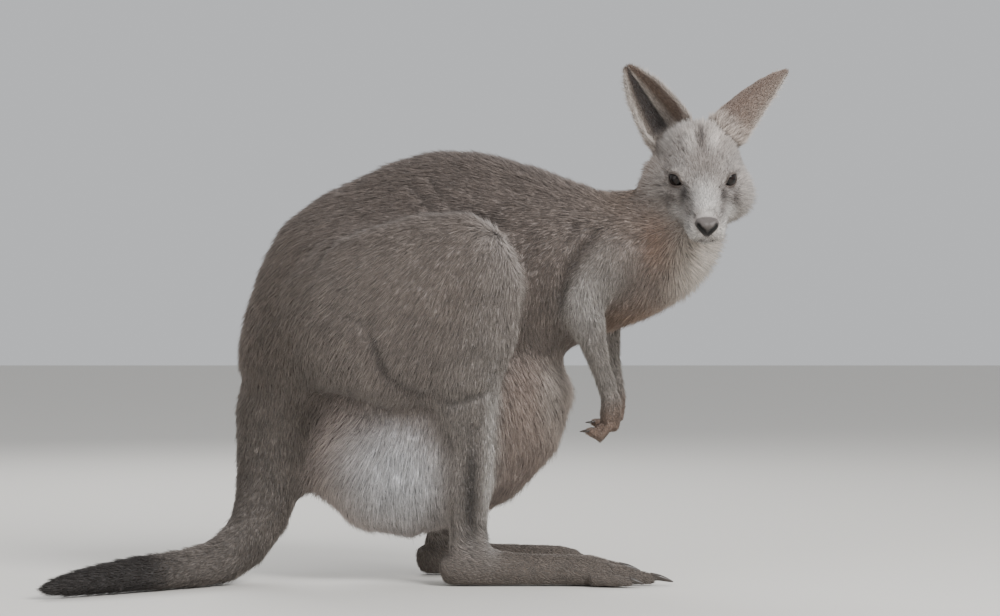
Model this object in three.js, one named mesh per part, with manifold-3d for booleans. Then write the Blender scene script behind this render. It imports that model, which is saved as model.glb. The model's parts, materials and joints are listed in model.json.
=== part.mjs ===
// A life-size eastern grey kangaroo, a female with a full pouch, crouched on both hind feet
// and the tail, with her head turned to her right.
// Millimetres, +Z up, +X the way the body faces, +Y her left. Every form reaches out to the
// tips of the coat. The origin is on the ground at the middle of the model's footprint.
import * as THREE from "three";
import { mergeVertices } from "three/addons/utils/BufferGeometryUtils.js";
import Module from "manifold-3d";

const wasm = await Module();
wasm.setup();

// ---------------------------------------------------------------- driving dimensions

const GAP = 0.35; // clearance left where two solids meet
const FOOTPRINT_CENTRE = { x: -103, y: -49 }; // in body coordinates, under the belly
const CAP_RINGS = 2; // rings in the rounded end of a large form; small ones take one

const HIND_FOOT_LENGTH = 325; // heel to the tip of the long toe's claw
const HEEL_X = -88; // of the right foot
const HALF_STANCE = 84; // from the midplane to the middle of a hind foot
const EAR_LENGTH = 154; // from inside the head to the tip
const EYE_RADIUS = 13.5;
const HEAD_PITCH = THREE.MathUtils.degToRad(29); // muzzle held below the level
const HEAD_TURN = THREE.MathUtils.degToRad(-88); // towards her right
const HEAD_AT = [288, -66, 577]; // midway between the eyes
const LEFT_LEG_BACK = 38; // the left foot stands this far behind the right one

const LEFT = 1;
const RIGHT = -1;
const SIDES = [
  { side: RIGHT, name: "right" },
  { side: LEFT, name: "left" },
];

// ---------------------------------------------------------------- materials

const material = (color, roughness) => new THREE.MeshStandardMaterial({ color, roughness, metalness: 0 });
const BACK_COAT = material(0x82786f, 0.9);
const FACE_COAT = material(0xa8a39d, 0.9);
const POUCH_COAT = material(0xb3a79d, 0.9);
const LIMB_COAT = material(0x8f8982, 0.9);
const TAIL_TIP_COAT = material(0x3a3633, 0.9);
const NOSE_SKIN = material(0x4c4a4b, 0.6);
const CLAW_HORN = material(0x2b2725, 0.4);
const EYE_SURFACE = material(0x1c1310, 0.08);

// ---------------------------------------------------------------- forms

const vector = ([x, y, z]) => new THREE.Vector3(x, y, z);
const ACROSS = new THREE.Vector3(0, 1, 0);

/** The stations' numbers as one smooth curve each: place, girth and the trim of the section. */
function splineOf(stations) {
  const curve = (read, type) => new THREE.CatmullRomCurve3(stations.map(read), false, type);
  return {
    place: curve((s) => vector(s.at), "centripetal"),
    girth: curve((s) => new THREE.Vector3(s.side, s.up, s.down), "catmullrom"),
    trim: curve((s) => new THREE.Vector3(s.egg ?? 0, s.square ?? 2, s.pinch ?? 0), "catmullrom"),
  };
}

/**
 * One oval ring of a form. `up` is the half height on the back or on the front of an upright
 * limb, `down` the opposite one, `side` the half width. `egg` narrows the upper half,
 * `square` above 2 flattens the sides, and `pinch` hollows them.
 */
function ring(spline, t, around, grow, scale, shift) {
  const tangent = spline.place.getTangent(t);
  const across = ACROSS.clone().addScaledVector(tangent, -ACROSS.dot(tangent)).normalize();
  const upward = tangent.clone().cross(across);
  const { x: side, y: up, z: down } = spline.girth.getPoint(t);
  const { x: egg, y: square, z: pinch } = spline.trim.getPoint(t);
  const centre = spline.place.getPoint(t).addScaledVector(tangent, shift);
  const bulge = (value) => Math.sign(value) * Math.abs(value) ** (2 / square);
  return Array.from({ length: around }, (_, i) => {
    const angle = (2 * Math.PI * i) / around;
    const [wide, high] = [Math.cos(angle), Math.sin(angle)];
    const width = (side + grow) * (1 - egg * high) * (1 - pinch * wide ** 4);
    const height = (high > 0 ? up : down) + grow;
    return centre
      .clone()
      .addScaledVector(across, bulge(wide) * width * scale)
      .addScaledVector(upward, bulge(high) * height * scale);
  });
}

/** Rings joined to a closed skin, with a pole at each end. */
function skinOf(rings, poles) {
  const around = rings[0].length;
  const points = [...rings.flat(), ...poles];
  const [firstPole, lastPole] = [points.length - 2, points.length - 1];
  const faces = [];
  rings.forEach((_, r) => {
    for (let i = 0; i < around; i++) {
      const [a, b] = [r * around + i, r * around + ((i + 1) % around)];
      if (r === 0) faces.push(firstPole, b, a);
      if (r === rings.length - 1) faces.push(lastPole, a, b);
      else faces.push(a, b, a + around, b, b + around, a + around);
    }
  });
  return new THREE.BufferGeometry().setFromPoints(points).setIndex(faces);
}

/** A closed body form through its stations. Its ends are flat, or rounded to a given depth. */
function form(stations, options) {
  const { around, along, roundStart = 0, roundEnd = 0, from = 0, to = 1, grow = 0, capRings = CAP_RINGS } = options;
  const spline = splineOf(stations);
  const quarter = Math.PI / 2;
  const capAngles = Array.from({ length: capRings }, (_, i) => ((i + 1) * quarter) / (capRings + 1));
  const cap = (t, depth) =>
    depth === 0
      ? []
      : capAngles.map((angle) => ring(spline, t, around, grow, Math.cos(angle), depth * Math.sin(angle)));
  const startDepth = roundStart && -(roundStart + grow);
  const endDepth = roundEnd && roundEnd + grow;
  const steps = Array.from({ length: along + 1 }, (_, i) => from + ((to - from) * i) / along);
  const rings = [
    ...cap(from, startDepth).reverse(),
    ...steps.map((t) => ring(spline, t, around, grow, 1, 0)),
    ...cap(to, endDepth),
  ];
  const pole = (t, depth) => spline.place.getPoint(t).addScaledVector(spline.place.getTangent(t), depth);
  return skinOf(rings, [pole(from, startDepth), pole(to, endDepth)]);
}

/** A three.js geometry as a solid, its shared corners merged. */
function solid(geometry) {
  const bare = geometry.clone();
  bare.deleteAttribute("normal");
  bare.deleteAttribute("uv");
  const merged = mergeVertices(bare, 1e-4);
  const mesh = new wasm.Mesh({
    numProp: 3,
    vertProperties: Float32Array.from(merged.attributes.position.array),
    triVerts: Uint32Array.from(merged.index.array),
  });
  return new wasm.Manifold(mesh);
}

const join = (parts) => parts.reduce((whole, part) => whole.add(part));

/** What is left of a solid beside its neighbours, without loose crumbs. */
function cut(whole, ...neighbours) {
  const left = neighbours.reduce((rest, neighbour) => rest.subtract(neighbour), whole);
  return left.decompose().reduce((best, piece) => (piece.volume() > best.volume() ? piece : best));
}

/** Everything under the ground plane, taken off what stands on it. */
function underground() {
  const [size, deep] = [3000, 400];
  return solid(new THREE.BoxGeometry(size, size, deep).translate(0, 0, -deep / 2));
}

const kangaroo = new THREE.Group();

function addNode(name, shape, coat) {
  const { vertProperties, triVerts, numProp, numVert } = shape.getMesh();
  const places = new Float32Array(numVert * 3);
  for (let i = 0; i < numVert; i++) places.set(vertProperties.subarray(i * numProp, i * numProp + 3), i * 3);
  const geometry = new THREE.BufferGeometry()
    .setAttribute("position", new THREE.BufferAttribute(places, 3))
    .setIndex(new THREE.BufferAttribute(triVerts, 1));
  geometry.computeVertexNormals();
  const mesh = new THREE.Mesh(geometry, coat);
  mesh.name = name;
  kangaroo.add(mesh);
}

// ---------------------------------------------------------------- trunk, pouch and tail

/** Spine of trunk and neck: from the root of the tail, over the arched back, into the head. */
const TORSO_STATIONS = [
  { at: [-319, 0, 272], side: 66, up: 72, down: 68 },
  { at: [-286, 0, 334], side: 84, up: 106, down: 96 },
  { at: [-226, 0, 388], side: 100, up: 161, down: 132, egg: 0.1 },
  { at: [-150, 0, 425], side: 112, up: 172, down: 172, egg: 0.16 },
  { at: [-60, 0, 450], side: 116, up: 181, down: 178, egg: 0.18 },
  { at: [40, 0, 460], side: 104, up: 152, down: 148, egg: 0.15 },
  { at: [118, 0, 466], side: 90, up: 118, down: 122, egg: 0.1 },
  { at: [178, 0, 475], side: 76, up: 95, down: 106, egg: 0.04 },
  { at: [218, -3, 493], side: 67, up: 90, down: 98 },
  { at: [246, -9, 519], side: 60, up: 78, down: 83 },
  { at: [261, -16, 554], side: 56, up: 66, down: 70 },
  { at: [267, -20, 592], side: 48, up: 64, down: 52 },
];
const NECK_STATION = 7; // where the neck leaves the shoulders
const TORSO_STEPS = 2; // rings from one station to the next

/** The torso between two of its stations; its ends sit on the rings of the whole. */
function torso(first, last, grow = 0) {
  const spans = TORSO_STATIONS.length - 1;
  const inset = last < spans ? 0.008 : 0;
  const options = { from: first / spans, to: (last - inset) / spans, along: (last - first) * TORSO_STEPS };
  if (first === 0) options.roundStart = 14;
  if (last === spans) options.roundEnd = 22;
  return solid(form(TORSO_STATIONS, { around: 18, grow, ...options }));
}

const wholeTorso = (grow) => torso(0, TORSO_STATIONS.length - 1, grow);

/** The hanging belly with the joey's weight in it, between the hind legs. */
function pouch(grow = 0) {
  const stations = [
    { at: [-240, 0, 172], side: 60, up: 104, down: 62 },
    { at: [-178, 0, 162], side: 92, up: 108, down: 103 },
    { at: [-90, 0, 182], side: 104, up: 108, down: 108 },
    { at: [-5, 0, 228], side: 98, up: 100, down: 104 },
    { at: [58, 0, 300], side: 72, up: 64, down: 66 },
  ];
  return solid(form(stations, { around: 14, along: 6, roundStart: 34, roundEnd: 34, grow }));
}

const TAIL_STATIONS = [
  { at: [-616, -272, 15], side: 10, up: 11, down: 13 },
  { at: [-582, -242, 20], side: 18, up: 18, down: 20 },
  { at: [-520, -188, 25], side: 23, up: 25, down: 26 },
  { at: [-452, -128, 28], side: 28, up: 29, down: 30 },
  { at: [-396, -74, 38], side: 35, up: 34, down: 39 },
  { at: [-354, -32, 74], side: 41, up: 41, down: 41 },
  { at: [-336, -9, 130], side: 45, up: 49, down: 48 },
  { at: [-327, -2, 190], side: 52, up: 58, down: 58 },
  { at: [-318, 0, 258], side: 60, up: 66, down: 63 },
  { at: [-300, 0, 318], side: 50, up: 54, down: 54 },
];

/** One length of the tail, between two shares of the way from its tip to its root. */
function tailLength(from, to, along, roundStart = 0) {
  const gap = to < 1 ? 0.0006 : 0;
  return solid(form(TAIL_STATIONS, { around: 12, along, from, to: to - gap, roundStart }));
}

// ---------------------------------------------------------------- hind legs

/** Places along a hind leg: the left one trails back, more so towards the foot. */
function legPlace(side, [x, y, z], trail) {
  const back = side === LEFT ? LEFT_LEG_BACK * trail : 0;
  return [x - back, side * y, z];
}

/** The great muscle of the thigh, from the seat to the knee. */
function thigh(side, grow = 0) {
  const stations = [
    { at: legPlace(side, [-292, 52, 326], 0), side: 36, up: 52, down: 56 },
    { at: legPlace(side, [-228, 86, 362], 0), side: 60, up: 122, down: 114 },
    { at: legPlace(side, [-146, 106, 390], 0.1), side: 72, up: 132, down: 144 },
    { at: legPlace(side, [-88, 118, 420], 0.2), side: 66, up: 120, down: 128 },
    { at: legPlace(side, [-42, 126, 440], 0.3), side: 54, up: 100, down: 100 },
  ];
  return solid(form(stations, { around: 13, along: 6, roundStart: 30, roundEnd: 74, grow }));
}

/** From inside the knee, past the calf, to the ankle, with the heel's tendon behind the shin. */
function shank(side, grow = 0) {
  const stations = [
    { at: legPlace(side, [-38, 126, 455], 0.3), side: 44, up: 62, down: 60 },
    { at: legPlace(side, [-38, 128, 400], 0.35), side: 48, up: 70, down: 84 },
    { at: legPlace(side, [-44, 124, 348], 0.45), side: 49, up: 71, down: 98 },
    { at: legPlace(side, [-47, 116, 296], 0.55), side: 42, up: 54, down: 70 },
    { at: legPlace(side, [-45, 108, 248], 0.65), side: 32, up: 40, down: 44, pinch: 0.1 },
    { at: legPlace(side, [-43, 100, 196], 0.75), side: 26, up: 36, down: 36, pinch: 0.2 },
    { at: legPlace(side, [-42, 94, 146], 0.85), side: 23, up: 34, down: 34, pinch: 0.26 },
    { at: legPlace(side, [-44, 88, 92], 0.95), side: 22, up: 30, down: 31, pinch: 0.2 },
    { at: legPlace(side, [-46, HALF_STANCE, 50], 1), side: 24, up: 30, down: 30 },
  ];
  return solid(form(stations, { around: 11, along: 8, roundStart: 20, roundEnd: 16, capRings: 1, grow }));
}

/** A place on a hind foot: a share of its length, a distance outwards from its middle, a height. */
const footPlace = (side, [share, out, z]) =>
  legPlace(side, [HEEL_X + share * HIND_FOOT_LENGTH, HALF_STANCE + out, z], 1);

/** Heel, long metatarsus and ball of the foot, flat along the ground. */
function foot(side, grow = 0) {
  const stations = [
    { at: footPlace(side, [0.055, 0, 24]), side: 20, up: 24, down: 26 },
    { at: footPlace(side, [0.135, 0, 28]), side: 24, up: 34, down: 31 },
    { at: footPlace(side, [0.26, 0, 26]), side: 21, up: 24, down: 29 },
    { at: footPlace(side, [0.455, -2, 24]), side: 21, up: 22, down: 27 },
    { at: footPlace(side, [0.635, -2, 23]), side: 26, up: 22, down: 26 },
    { at: footPlace(side, [0.725, 0, 19]), side: 27, up: 20, down: 22 },
  ];
  return solid(form(stations, { around: 11, along: 6, roundStart: 18, roundEnd: 14, capRings: 1, grow }));
}

/**
 * The long fourth toe, the shorter fifth beside it, and the tiny paired second and third. Each
 * path holds places for footPlace, and each girth a half width, a height above and a depth below.
 */
const TOES = [
  {
    name: "toe_4",
    path: [[0.7, 0, 18], [0.8, 0, 17], [0.885, -1, 13], [0.935, -2, 11]],
    girth: [[15, 15, 19], [14, 14, 18], [11, 10, 14], [9, 8, 12]],
    claws: [{ name: "claw_4", shift: 0, length: 32, radius: 6 }],
  },
  {
    name: "toe_5",
    path: [[0.665, 19, 14], [0.74, 26, 12], [0.8, 30, 10], [0.835, 32, 9]],
    girth: [[11, 11, 15], [10, 9, 13], [8, 8, 11], [7, 6.5, 10]],
    claws: [{ name: "claw_5", shift: 0, length: 21, radius: 4.6 }],
  },
  {
    name: "toes_2_3",
    path: [[0.615, -16, 20], [0.685, -22, 18], [0.755, -26, 15], [0.79, -26, 14]],
    girth: [[9, 8, 10], [9, 7, 8], [8.5, 6.5, 7], [8, 6, 6]],
    claws: [
      { name: "claw_2", shift: -4, length: 15, radius: 2.8 },
      { name: "claw_3", shift: 4, length: 15, radius: 2.8 },
    ],
  },
];

function toeSolid(side, toe, grow = 0) {
  const stations = toe.path.map((place, i) => {
    const [width, up, down] = toe.girth[i];
    return { at: footPlace(side, place), side: width, up, down };
  });
  return solid(form(stations, { around: 7, along: 3, roundEnd: 7, capRings: 1, grow }));
}

/** A curved horn claw from inside a toe or finger, drooping towards its point. */
function claw(root, direction, { length, radius, droop, along: steps }) {
  const start = vector(root);
  const along = vector(direction).normalize();
  const at = (share) =>
    start
      .clone()
      .addScaledVector(along, length * share)
      .add(new THREE.Vector3(0, 0, -length * droop * share * share))
      .toArray();
  const stations = [
    { at: at(0), side: radius * 0.9, up: radius, down: radius },
    { at: at(0.5), side: radius * 0.7, up: radius * 0.85, down: radius * 0.75 },
    { at: at(1), side: radius * 0.16, up: radius * 0.2, down: radius * 0.2 },
  ];
  return solid(form(stations, { around: 5, along: steps }));
}

// ---------------------------------------------------------------- forelimbs

const ARMS = {
  [RIGHT]: {
    shoulder: [158, -58, 474],
    elbow: [110, -90, 402],
    wrist: [158, -86, 262],
    knuckles: [156, -84, 226],
  },
  [LEFT]: {
    shoulder: [172, 58, 474],
    elbow: [146, 90, 400],
    wrist: [172, 85, 268],
    knuckles: [169, 82, 232],
  },
};

const between = (a, b, share) => vector(a).lerp(vector(b), share).toArray();

function upperArm(side, grow = 0) {
  const { shoulder, elbow } = ARMS[side];
  const stations = [
    { at: shoulder, side: 30, up: 52, down: 50 },
    { at: between(shoulder, elbow, 0.5), side: 32, up: 44, down: 40 },
    { at: elbow, side: 24, up: 26, down: 22 },
  ];
  return solid(form(stations, { around: 9, along: 3, roundStart: 34, roundEnd: 20, capRings: 1, grow }));
}

function forearm(side, grow = 0) {
  const { elbow, wrist } = ARMS[side];
  const stations = [
    { at: elbow, side: 23, up: 27, down: 22 },
    { at: between(elbow, wrist, 0.25), side: 23, up: 31, down: 22 },
    { at: between(elbow, wrist, 0.5), side: 19, up: 20, down: 16 },
    { at: between(elbow, wrist, 0.75), side: 16, up: 16, down: 14 },
    { at: wrist, side: 16, up: 15, down: 15 },
  ];
  return solid(form(stations, { around: 9, along: 5, roundStart: 14, roundEnd: 6, capRings: 1, grow }));
}

const FINGERS = 5;
const FINGER_REACH = [0.86, 0.97, 1, 0.97, 0.88]; // each finger's share of the longest
const FINGER_PITCH = 8.6; // from one finger to the next across the palm

/** The places of finger i, curled back and up under the palm as a loose fist. */
function fingerPath(side, i) {
  const [x, y, z] = ARMS[side].knuckles;
  const fan = i - (FINGERS - 1) / 2;
  const reach = FINGER_REACH[i];
  const out = y + fan * FINGER_PITCH;
  return [
    [x + 1, out, z + 4],
    [x - 8 * reach, out + fan * 0.6, z - 13 * reach],
    [x - 22 * reach, out + fan * 0.9, z - 15 * reach],
    [x - 31 * reach, out + fan * 1.1, z - 5],
  ];
}

function hand(side, grow = 0) {
  const { wrist, knuckles } = ARMS[side];
  const palm = [
    { at: wrist, side: 16, up: 15, down: 15 },
    { at: between(wrist, knuckles, 0.5), side: 20, up: 15, down: 15 },
    { at: knuckles, side: 22, up: 14, down: 13 },
  ];
  const fingers = FINGER_REACH.map((_, i) => {
    const girths = [7.6, 7.8, 7.6, 7];
    const stations = fingerPath(side, i).map((at, j) => ({ at, side: girths[j], up: girths[j], down: girths[j] }));
    return solid(form(stations, { around: 5, along: 2, roundEnd: 4, capRings: 0, grow }));
  });
  return join([solid(form(palm, { around: 9, along: 2, roundEnd: 7, capRings: 1, grow })), ...fingers]);
}

// ---------------------------------------------------------------- head

const headFrame = new THREE.Matrix4()
  .makeTranslation(...HEAD_AT)
  .multiply(new THREE.Matrix4().makeRotationZ(HEAD_TURN))
  .multiply(new THREE.Matrix4().makeRotationY(HEAD_PITCH));

/** From the back of the head to the lips, in the head's own coordinates: +X to the nose. */
function head(grow = 0) {
  const stations = [
    { at: [-92, 0, -6], side: 50, up: 52, down: 52, egg: 0.05 },
    { at: [-64, 0, -8], side: 63, up: 62, down: 60, egg: 0.12 },
    { at: [-32, 0, -12], side: 67, up: 57, down: 64, egg: 0.26, square: 2.3 },
    { at: [0, 0, -18], side: 62, up: 47, down: 58, egg: 0.34, square: 2.5 },
    { at: [26, 0, -23], side: 43, up: 36, down: 46, egg: 0.3, square: 2.5 },
    { at: [52, 0, -28], side: 27, up: 27, down: 34, egg: 0.2, square: 2.4 },
    { at: [74, 0, -32], side: 25, up: 22, down: 27, egg: 0.2, square: 2.4 },
    { at: [88, 0, -34], side: 22, up: 18, down: 21, egg: 0.18, square: 2.3 },
  ];
  const shape = form(stations, { around: 20, along: 11, roundStart: 26, roundEnd: 12, grow });
  return solid(shape.applyMatrix4(headFrame));
}

/** The bare skin round the nostrils. */
function nosePad(grow = 0) {
  const stations = [
    { at: [80, 0, -22], side: 15, up: 8, down: 10, egg: -0.2 },
    { at: [92, 0, -25], side: 16.5, up: 10, down: 12, egg: -0.3 },
    { at: [99, 0, -27], side: 13, up: 8, down: 10, egg: -0.3 },
  ];
  const shape = form(stations, { around: 12, along: 2, roundEnd: 4, capRings: 1, grow });
  return solid(shape.applyMatrix4(headFrame));
}

function eye(side, grow = 0) {
  const ball = new THREE.SphereGeometry(EYE_RADIUS + grow, 10, 6);
  return solid(ball.translate(7, side * 34.5, 6).applyMatrix4(headFrame));
}

/** A cupped ear. Share 0 is in the head and 1 the tip; the spread is the half angle of the cup. */
const EAR_CUP = [
  { share: 0, radius: 26, spread: 140, thick: 7 },
  { share: 0.16, radius: 33, spread: 116, thick: 6.5 },
  { share: 0.34, radius: 34, spread: 98, thick: 5.5 },
  { share: 0.54, radius: 31, spread: 86, thick: 5 },
  { share: 0.74, radius: 25, spread: 74, thick: 4.5 },
  { share: 0.9, radius: 16, spread: 62, thick: 4 },
  { share: 1, radius: 7.5, spread: 50, thick: 3.4 },
];
const EARS = {
  [RIGHT]: { root: [268, -14, 616], lean: [-82, 6, 125], opens: [-0.12, -1, 0.1], folded: 1.02 },
  [LEFT]: { root: [308.6, -8, 628], lean: [110, 14, 107], opens: [0.55, 0.6, -0.59], folded: 0.86 },
};
const EAR_ARC_STEPS = 6;

function ear(side) {
  const { root, lean, opens, folded } = EARS[side];
  const axis = vector(lean).normalize();
  const mouth = vector(opens);
  mouth.addScaledVector(axis, -mouth.dot(axis)).normalize();
  const wide = axis.clone().cross(mouth);
  const arcPoint = (cup, edge, inner) => {
    const taper = 1 - 0.45 * Math.abs(edge) ** 3;
    const radius = cup.radius * folded + ((inner ? -1 : 1) * cup.thick * taper) / 2;
    const angle = THREE.MathUtils.degToRad(cup.spread) * edge;
    return vector(root)
      .addScaledVector(axis, EAR_LENGTH * cup.share)
      .addScaledVector(wide, radius * Math.sin(angle))
      .addScaledVector(mouth, -radius * Math.cos(angle));
  };
  const edges = Array.from({ length: EAR_ARC_STEPS + 1 }, (_, i) => (2 * i) / EAR_ARC_STEPS - 1);
  const rings = EAR_CUP.map((cup) => [
    ...edges.map((edge) => arcPoint(cup, edge, false)),
    ...edges.toReversed().map((edge) => arcPoint(cup, edge, true)),
  ]);
  const around = rings[0].length;
  const faces = [];
  rings.slice(1).forEach((_, r) => {
    for (let i = 0; i < around; i++) {
      const [a, b] = [r * around + i, r * around + ((i + 1) % around)];
      faces.push(a, a + around, b, b, a + around, b + around);
    }
  });
  const last = (rings.length - 1) * around;
  for (let i = 0; i < EAR_ARC_STEPS; i++) {
    const [a, b, c, d] = [i, i + 1, around - 2 - i, around - 1 - i];
    faces.push(a, b, d, b, c, d);
    faces.push(last + a, last + d, last + b, last + b, last + d, last + c);
  }
  const shell = new THREE.BufferGeometry().setFromPoints(rings.flat()).setIndex(faces);
  return solid(shell);
}

// ---------------------------------------------------------------- the whole animal

function addTorso() {
  addNode("trunk", torso(0, NECK_STATION), BACK_COAT);
  addNode("neck", cut(torso(NECK_STATION, TORSO_STATIONS.length - 1), head(GAP)), BACK_COAT);
  addNode("pouch", cut(pouch(), wholeTorso(GAP)), POUCH_COAT);
  const ground = underground();
  const lengths = [
    { name: "tail_tip", from: 0, to: 0.3, along: 4, roundStart: 8, coat: TAIL_TIP_COAT },
    { name: "tail_middle", from: 0.3, to: 0.66, along: 5, coat: BACK_COAT },
    { name: "tail_base", from: 0.66, to: 1, along: 5, coat: BACK_COAT },
  ];
  for (const { name, from, to, along, roundStart, coat } of lengths) {
    addNode(name, cut(tailLength(from, to, along, roundStart), ground, wholeTorso(GAP), pouch(GAP)), coat);
  }
}

function addHindLegs() {
  const ground = underground();
  for (const { side, name } of SIDES) {
    addNode(`thigh_${name}`, cut(thigh(side), wholeTorso(GAP), pouch(GAP)), LIMB_COAT);
    addNode(`shank_${name}`, cut(shank(side), thigh(side, GAP), wholeTorso(GAP), pouch(GAP)), LIMB_COAT);
    addNode(`foot_${name}`, cut(foot(side), shank(side, GAP), ground), LIMB_COAT);
    for (const toe of TOES) {
      const longer = toe === TOES[0] ? [] : [toeSolid(side, TOES[0], GAP)];
      addNode(`${toe.name}_${name}`, cut(toeSolid(side, toe), foot(side, GAP), ground, ...longer), LIMB_COAT);
      const [share, out, z] = toe.path.at(-1);
      for (const { name: clawName, shift, length, radius } of toe.claws) {
        const root = footPlace(side, [share - 0.006, out + shift, z + 1]);
        const horn = claw(root, [1, side * shift * 0.03, 0], { length, radius, droop: 0.2, along: 2 });
        addNode(`${clawName}_${name}`, cut(horn, toeSolid(side, toe, GAP), foot(side, GAP), ground), CLAW_HORN);
      }
    }
  }
}

function addForelimbs() {
  for (const { side, name } of SIDES) {
    addNode(`upper_arm_${name}`, cut(upperArm(side), wholeTorso(GAP)), LIMB_COAT);
    addNode(`forearm_${name}`, cut(forearm(side), upperArm(side, GAP), wholeTorso(GAP)), LIMB_COAT);
    addNode(`hand_${name}`, cut(hand(side), forearm(side, GAP)), LIMB_COAT);
    for (let i = 0; i < FINGERS; i++) {
      const tip = fingerPath(side, i).at(-1);
      const horn = claw(tip, [-0.85, 0, 0.3], { length: 12.5, radius: 2.8, droop: 0.5, along: 1 });
      addNode(`finger_claw_${i + 1}_${name}`, cut(horn, hand(side, GAP)), CLAW_HORN);
    }
  }
}

function addHead() {
  addNode("head", cut(head(), nosePad(GAP), eye(RIGHT, GAP), eye(LEFT, GAP)), FACE_COAT);
  addNode("nose_pad", nosePad(), NOSE_SKIN);
  for (const { side, name } of SIDES) {
    addNode(`eye_${name}`, eye(side), EYE_SURFACE);
    addNode(`ear_${name}`, cut(ear(side), head(GAP)), FACE_COAT);
  }
}

addTorso();
addHindLegs();
addForelimbs();
addHead();
kangaroo.position.set(-FOOTPRINT_CENTRE.x, -FOOTPRINT_CENTRE.y, 0);

export default kangaroo;
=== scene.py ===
"""A life-size museum model of a kangaroo: one skin, the coat on it, the eyes and the claws.

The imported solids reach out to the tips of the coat. Distance fields of them are merged, pulled
in by the coat's depth and sculpted into one skin. The coat stands on that skin as solid locks,
each laid along the lie of the hair. All places are in millimetres in the part's own frame,
and millimetres become metres only where a mesh is made.
"""

import json
import logging
import math
from dataclasses import dataclass, field
from enum import Enum

import bmesh
import bpy
import numpy as np
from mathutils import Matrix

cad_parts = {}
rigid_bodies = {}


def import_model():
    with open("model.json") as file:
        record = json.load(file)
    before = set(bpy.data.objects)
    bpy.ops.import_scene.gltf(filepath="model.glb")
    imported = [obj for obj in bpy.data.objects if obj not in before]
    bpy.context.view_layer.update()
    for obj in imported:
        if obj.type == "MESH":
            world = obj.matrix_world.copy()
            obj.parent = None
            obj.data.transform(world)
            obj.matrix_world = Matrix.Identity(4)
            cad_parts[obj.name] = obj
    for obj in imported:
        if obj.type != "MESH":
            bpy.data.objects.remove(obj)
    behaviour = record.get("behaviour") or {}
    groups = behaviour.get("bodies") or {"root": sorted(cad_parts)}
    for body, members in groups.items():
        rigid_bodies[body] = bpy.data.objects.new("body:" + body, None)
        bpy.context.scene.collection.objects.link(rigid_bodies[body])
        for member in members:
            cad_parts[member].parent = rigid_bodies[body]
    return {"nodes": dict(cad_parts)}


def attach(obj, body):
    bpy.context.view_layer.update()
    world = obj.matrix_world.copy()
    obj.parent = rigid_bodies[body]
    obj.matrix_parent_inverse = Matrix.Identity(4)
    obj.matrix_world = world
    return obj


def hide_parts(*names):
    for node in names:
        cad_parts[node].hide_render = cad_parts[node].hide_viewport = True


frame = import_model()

import openvdb as vdb
from mathutils import Matrix, Vector

Array = np.ndarray
Object = bpy.types.Object
Mesh = bpy.types.Mesh
Socket = bpy.types.NodeSocket
Place = tuple[float, float, float]

LOG = logging.getLogger("kangaroo")
MM = 0.001  # metres in a millimetre
BODY = "root"  # the one body that every piece rides on
SIDES = {"right": -1, "left": 1}


# --- small tools


def linear(colour: str) -> tuple[float, float, float, float]:
    """The linear colour of an sRGB hex value such as "#8a7f74".

    Args:
        colour: Six hex digits after a hash.

    Returns:
        Red, green, blue and an alpha of 1.
    """
    channels = [int(colour[i : i + 2], 16) / 255 for i in (1, 3, 5)]
    return (*(c / 12.92 if c <= 0.04045 else ((c + 0.055) / 1.055) ** 2.4 for c in channels), 1.0)


def smooth_step(value: Array) -> Array:
    """0 below 0, 1 above 1 and a soft S between."""
    t = np.clip(value, 0, 1)
    return t * t * (3 - 2 * t)


def unit(vectors: Array) -> Array:
    """The same directions, each one long."""
    return vectors / np.maximum(np.linalg.norm(vectors, axis=-1, keepdims=True), 1e-9)


def rows_of(items: bpy.types.bpy_prop_collection, what: str, columns: int, kind: type) -> Array:
    """One property of many items.

    Args:
        items: The items, such as a mesh's vertices.
        what: The property's name.
        columns: How many numbers each item has.
        kind: The numbers' type.

    Returns:
        One row for each item.
    """
    flat = np.zeros(len(items) * columns, kind)
    items.foreach_get(what, flat)
    return flat.reshape(-1, columns)


def points_of(mesh: Mesh) -> Array:
    """A mesh's vertices in millimetres, one row each."""
    return rows_of(mesh.vertices, "co", 3, np.float32) / MM


def triangles_of(mesh: Mesh) -> Array:
    """A mesh's triangles as vertex numbers, one row each."""
    mesh.calc_loop_triangles()
    return rows_of(mesh.loop_triangles, "vertices", 3, np.int32).astype(np.uint32)


def give(mesh: Mesh, name: str, kind: str, values: Array, domain: str = "POINT") -> None:
    """Stores values on a mesh as a named attribute.

    Args:
        mesh: The mesh.
        name: The attribute's name.
        kind: Its Blender type.
        values: One value or row for each point or corner.
        domain: Where the values belong.
    """
    column = {"FLOAT": "value", "FLOAT_VECTOR": "vector", "FLOAT_COLOR": "color"}[kind]
    attribute = mesh.attributes.new(name, kind, domain)
    attribute.data.foreach_set(column, np.asarray(values, np.float32).ravel())


def new_object(name: str, data: bpy.types.ID) -> Object:
    """An object at the origin that shows a mesh, a lamp or a camera.

    Args:
        name: The object's name.
        data: What it shows.

    Returns:
        The object, in the scene.
    """
    obj = bpy.data.objects.new(name, data)
    bpy.context.scene.collection.objects.link(obj)
    return obj


def mesh_of(name: str, points: Array, faces: list | Array) -> Mesh:
    """A smooth-shaded mesh.

    Args:
        name: The mesh's name.
        points: Places in millimetres.
        faces: Vertex numbers of each face.

    Returns:
        The mesh, in metres.
    """
    mesh = bpy.data.meshes.new(name)
    rows = faces.tolist() if isinstance(faces, Array) else faces
    mesh.from_pydata((np.asarray(points, float) * MM).tolist(), [], rows)
    mesh.update()
    mesh.shade_smooth()
    return mesh


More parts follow.
